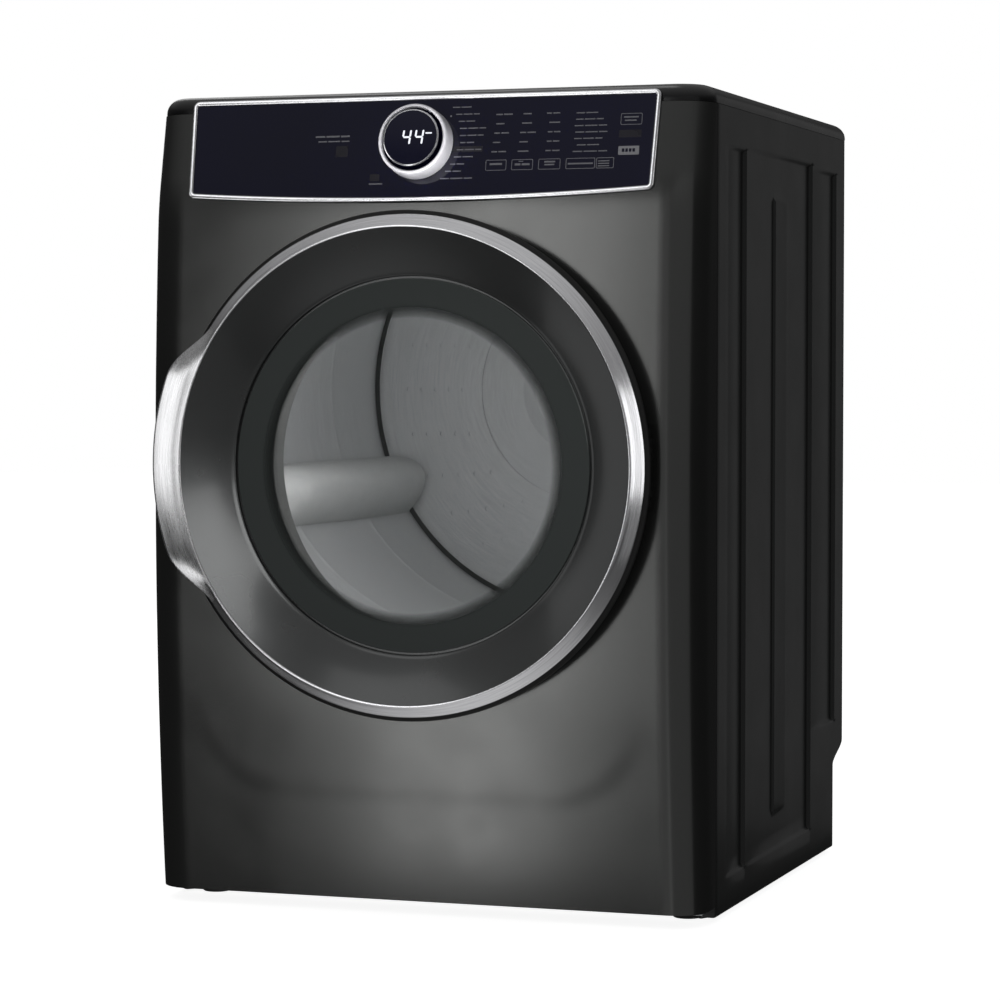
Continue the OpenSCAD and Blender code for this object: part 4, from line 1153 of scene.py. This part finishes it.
def edges_of(node, width):
    """Rounds the sharp edges of a CAD node that stays in sight."""
    bevel = frame["nodes"][node].modifiers.new("edges", "BEVEL")
    bevel.width = width * MM
    bevel.segments = 2
    bevel.limit_method = "ANGLE"
    bevel.angle_limit = math.radians(50)
    bevel.harden_normals = True


# --- stage ---

FLOOR_GLOW = 0.9
# Light of the room by the height of the direction, from straight down to straight up
ROOM = [
    (-1.0, 0.55), (-0.9, 0.38), (-0.72, 0.12), (-0.45, 0.03), (-0.2, 0.014), (0.0, 0.014), (0.25, 0.04),
    (0.45, 0.20), (0.7, 0.30), (1.0, 0.48),
]
GLASS = ["door_pane", "door_bowl_glass"]
TRIMS = ["door_trim_ring", "door_grip", "console_trim", "knob_ring", "display_bezel"]
DISH = ["door_bowl"]
LID = ["lid_skin"]
# Name, place, target, size, radiance, roll in degrees; these reach all pieces but the glass
FRONT_LIGHTS = [
    ("front_strip", (-1.13, -3.6, 0.75), (0, -0.39, 0.75), (0.66, 2.3), 1.9, -1.5),
    ("front_strip_low", (-1.14, -3.6, -0.74), (0, -0.39, 0.2), (0.38, 0.74), 2.45, -3),
    ("front_haze", (2.7, -3.3, 0.2), (0.3, -0.3, 0.2), (5.5, 4.4), 0.16, 0),
    ("front_beside", (-0.06, -3.6, 0.1), (0, -0.39, 0.1), (1.52, 3.6), 0.24, 9),
]
# Name, place, target, size, radiance, and the pieces that the light reaches if not all
LIGHTS = [
    ("overhead", (-0.75, 0.7, 2.7), (-0.1, 0.1, 0.9), (0.5, 2.4), 1.6, LID),
    ("side_glow", (1.4, 3.4, 0.75), (0.34, 0.0, 0.5), (1.2, 2.4), 0.11, ["side_skin_right", *LID]),
    ("rear_fill", (-2.0, 3.6, 1.8), (0, 0.3, 0.5), (2.0, 2.4), 0.8, None),
    ("drum_fill", AT_DRUM @ Vector((0, -20, 0)), AT_DRUM @ Vector((0, 500, 0)), (0.3, 0.3), 8.2, None),
    ("left_wall", (-3.3, -1.9, 0.86), (-0.3, -0.4, 0.6), (2.0, 1.55), 1.7, TRIMS),
    ("dish_left", (-2.9, -1.2, 0.4), (0.2, -0.38, 0.5), (1.5, 3.2), 0.54, DISH),
    ("right_wall", (3.4, -0.9, 0.9), (0.3, -0.4, 0.5), (1.4, 2.0), 1.3, TRIMS + DISH),
    ("front_high", (-1.2, -2.6, 2.8), (0, -0.35, 0.8), (1.8, 1.6), 1.3, TRIMS),
    ("dish_high", (-1.2, -2.6, 2.8), (0, -0.35, 0.8), (1.8, 1.6), 0.9, DISH),
    ("front_low", (-1.5, -1.5, -1.1), (-0.4, -0.35, 0.6), (2.6, 1.2), 1.4, TRIMS),
    ("knob_light", (0.65, -1.4, -0.5), (0, -0.35, 0.9), (1.0, 1.0), 24.0, ["knob_ring"]),
    ("door_fill", (1.4, -3.0, 1.6), (0, -0.35, 0.5), (1.8, 1.8), 3.2, [*DISH, "door_pane"]),
]


def floor():
    """Pale floor that only the camera sees, so that it throws no light back up."""
    bm = bmesh.new()
    bmesh.ops.create_grid(bm, x_segments=2, y_segments=2, size=14)
    obj = bare_object("floor", bm, Matrix())
    obj.visible_glossy = obj.visible_diffuse = obj.visible_transmission = obj.visible_shadow = False
    finish = Shader(
        "pale_floor", (0.6, 0.6, 0.6), 0.9, Specular_IOR_Level=0.0, Emission_Color=(1, 1, 1, 1),
        Emission_Strength=FLOOR_GLOW,
    )
    obj.data.materials.append(finish.material)


def softbox(name, place, target, size, radiance, roll=0):
    """Rectangular light of this radiance, turned by roll degrees about the line to its target."""
    light = bpy.data.lights.new(name, "AREA")
    light.shape = "RECTANGLE"
    light.size, light.size_y = size
    light.energy = radiance * math.pi * size[0] * size[1]
    obj = bpy.data.objects.new(name, light)
    scene.collection.objects.link(obj)
    obj.location = place
    obj.rotation_mode = "QUATERNION"
    aim = (Vector(target) - Vector(place)).to_track_quat("-Z", "Y")
    obj.rotation_quaternion = aim @ Quaternion((0, 0, 1), math.radians(roll))
    obj.visible_camera = False
    return obj


def world():
    """White behind the object, and for its reflections a dark room with a pale ceiling and floor."""
    made = bpy.data.worlds.new("studio")
    scene.world = made
    made.use_nodes = True
    nodes, link = made.node_tree.nodes, made.node_tree.links.new
    shown = nodes["Background"]
    room, place, parts, height, ramp, path, mix = (
        nodes.new(f"ShaderNode{kind}")
        for kind in ("Background", "TexCoord", "SeparateXYZ", "MapRange", "ValToRGB", "LightPath", "MixShader")
    )
    fill(shown, Color=(1, 1, 1, 1))
    fill(height, From_Min=-1)
    stops = ramp.color_ramp.elements
    while len(stops) < len(ROOM):
        stops.new(0.5)
    for stop, (up, level) in zip(stops, ROOM):
        stop.position = (up + 1) / 2
        stop.color = (level, level, level, 1)
    link(place.outputs["Generated"], parts.inputs[0])
    link(parts.outputs["Z"], height.inputs["Value"])
    link(height.outputs["Result"], ramp.inputs["Fac"])
    link(ramp.outputs["Color"], room.inputs["Color"])
    link(path.outputs["Is Camera Ray"], mix.inputs[0])
    link(room.outputs[0], mix.inputs[1])
    link(shown.outputs[0], mix.inputs[2])
    link(mix.outputs[0], nodes["World Output"].inputs["Surface"])


def shine_on(light, names, leave_out=False):
    """Lets a light reach only these pieces, or all but these."""
    group = bpy.data.collections.new(f"{light.name}_pieces")
    for name in names:
        group.objects.link(bpy.data.objects[name])
    if leave_out:
        for member in group.collection_objects:
            member.light_linking.link_state = "EXCLUDE"
    light.light_linking.receiver_collection = group


def studio():
    """The room and its lights; the one inside the drum isn't mirrored."""
    world()
    for light in FRONT_LIGHTS:
        shine_on(softbox(*light), GLASS, leave_out=True)
    for *light, names in LIGHTS:
        lamp = softbox(*light)
        lamp.visible_glossy = lamp.name != "drum_fill"
        if names:
            shine_on(lamp, names)


def camera():
    """The view from the front and a little to the right, from a long way off."""
    yaw, pitch = math.radians(18.97), math.radians(2.323)
    data = bpy.data.cameras.new("camera")
    data.sensor_width = 36
    data.lens = 115.91
    data.clip_start, data.clip_end = 0.1, 100
    obj = bpy.data.objects.new("camera", data)
    scene.collection.objects.link(obj)
    obj.location = (1.3093, -3.8434, 0.6397)
    flat = math.cos(pitch)
    forward = Vector((-math.sin(yaw) * flat, math.cos(yaw) * flat, -math.sin(pitch)))
    obj.rotation_mode = "QUATERNION"
    obj.rotation_quaternion = forward.to_track_quat("-Z", "Y")
    scene.camera = obj


finish_frame()
front_panel()
side_panel("side_skin_right", 1)
side_panel("side_skin_left", -1)
lid_panel()
console_frame()
console_glass()
console_print()
knob()
door_trim()
door_dish()
door_rim()
door_glass()
door_back()
drum_shell()
drum_vanes()
rear_screws()
for foot_corner in ("front_left", "front_right", "rear_left", "rear_right"):
    foot(foot_corner)
edges_of("terminal_cover", 1.2)
floor()
studio()
camera()
scene.view_settings.view_transform = "Standard"
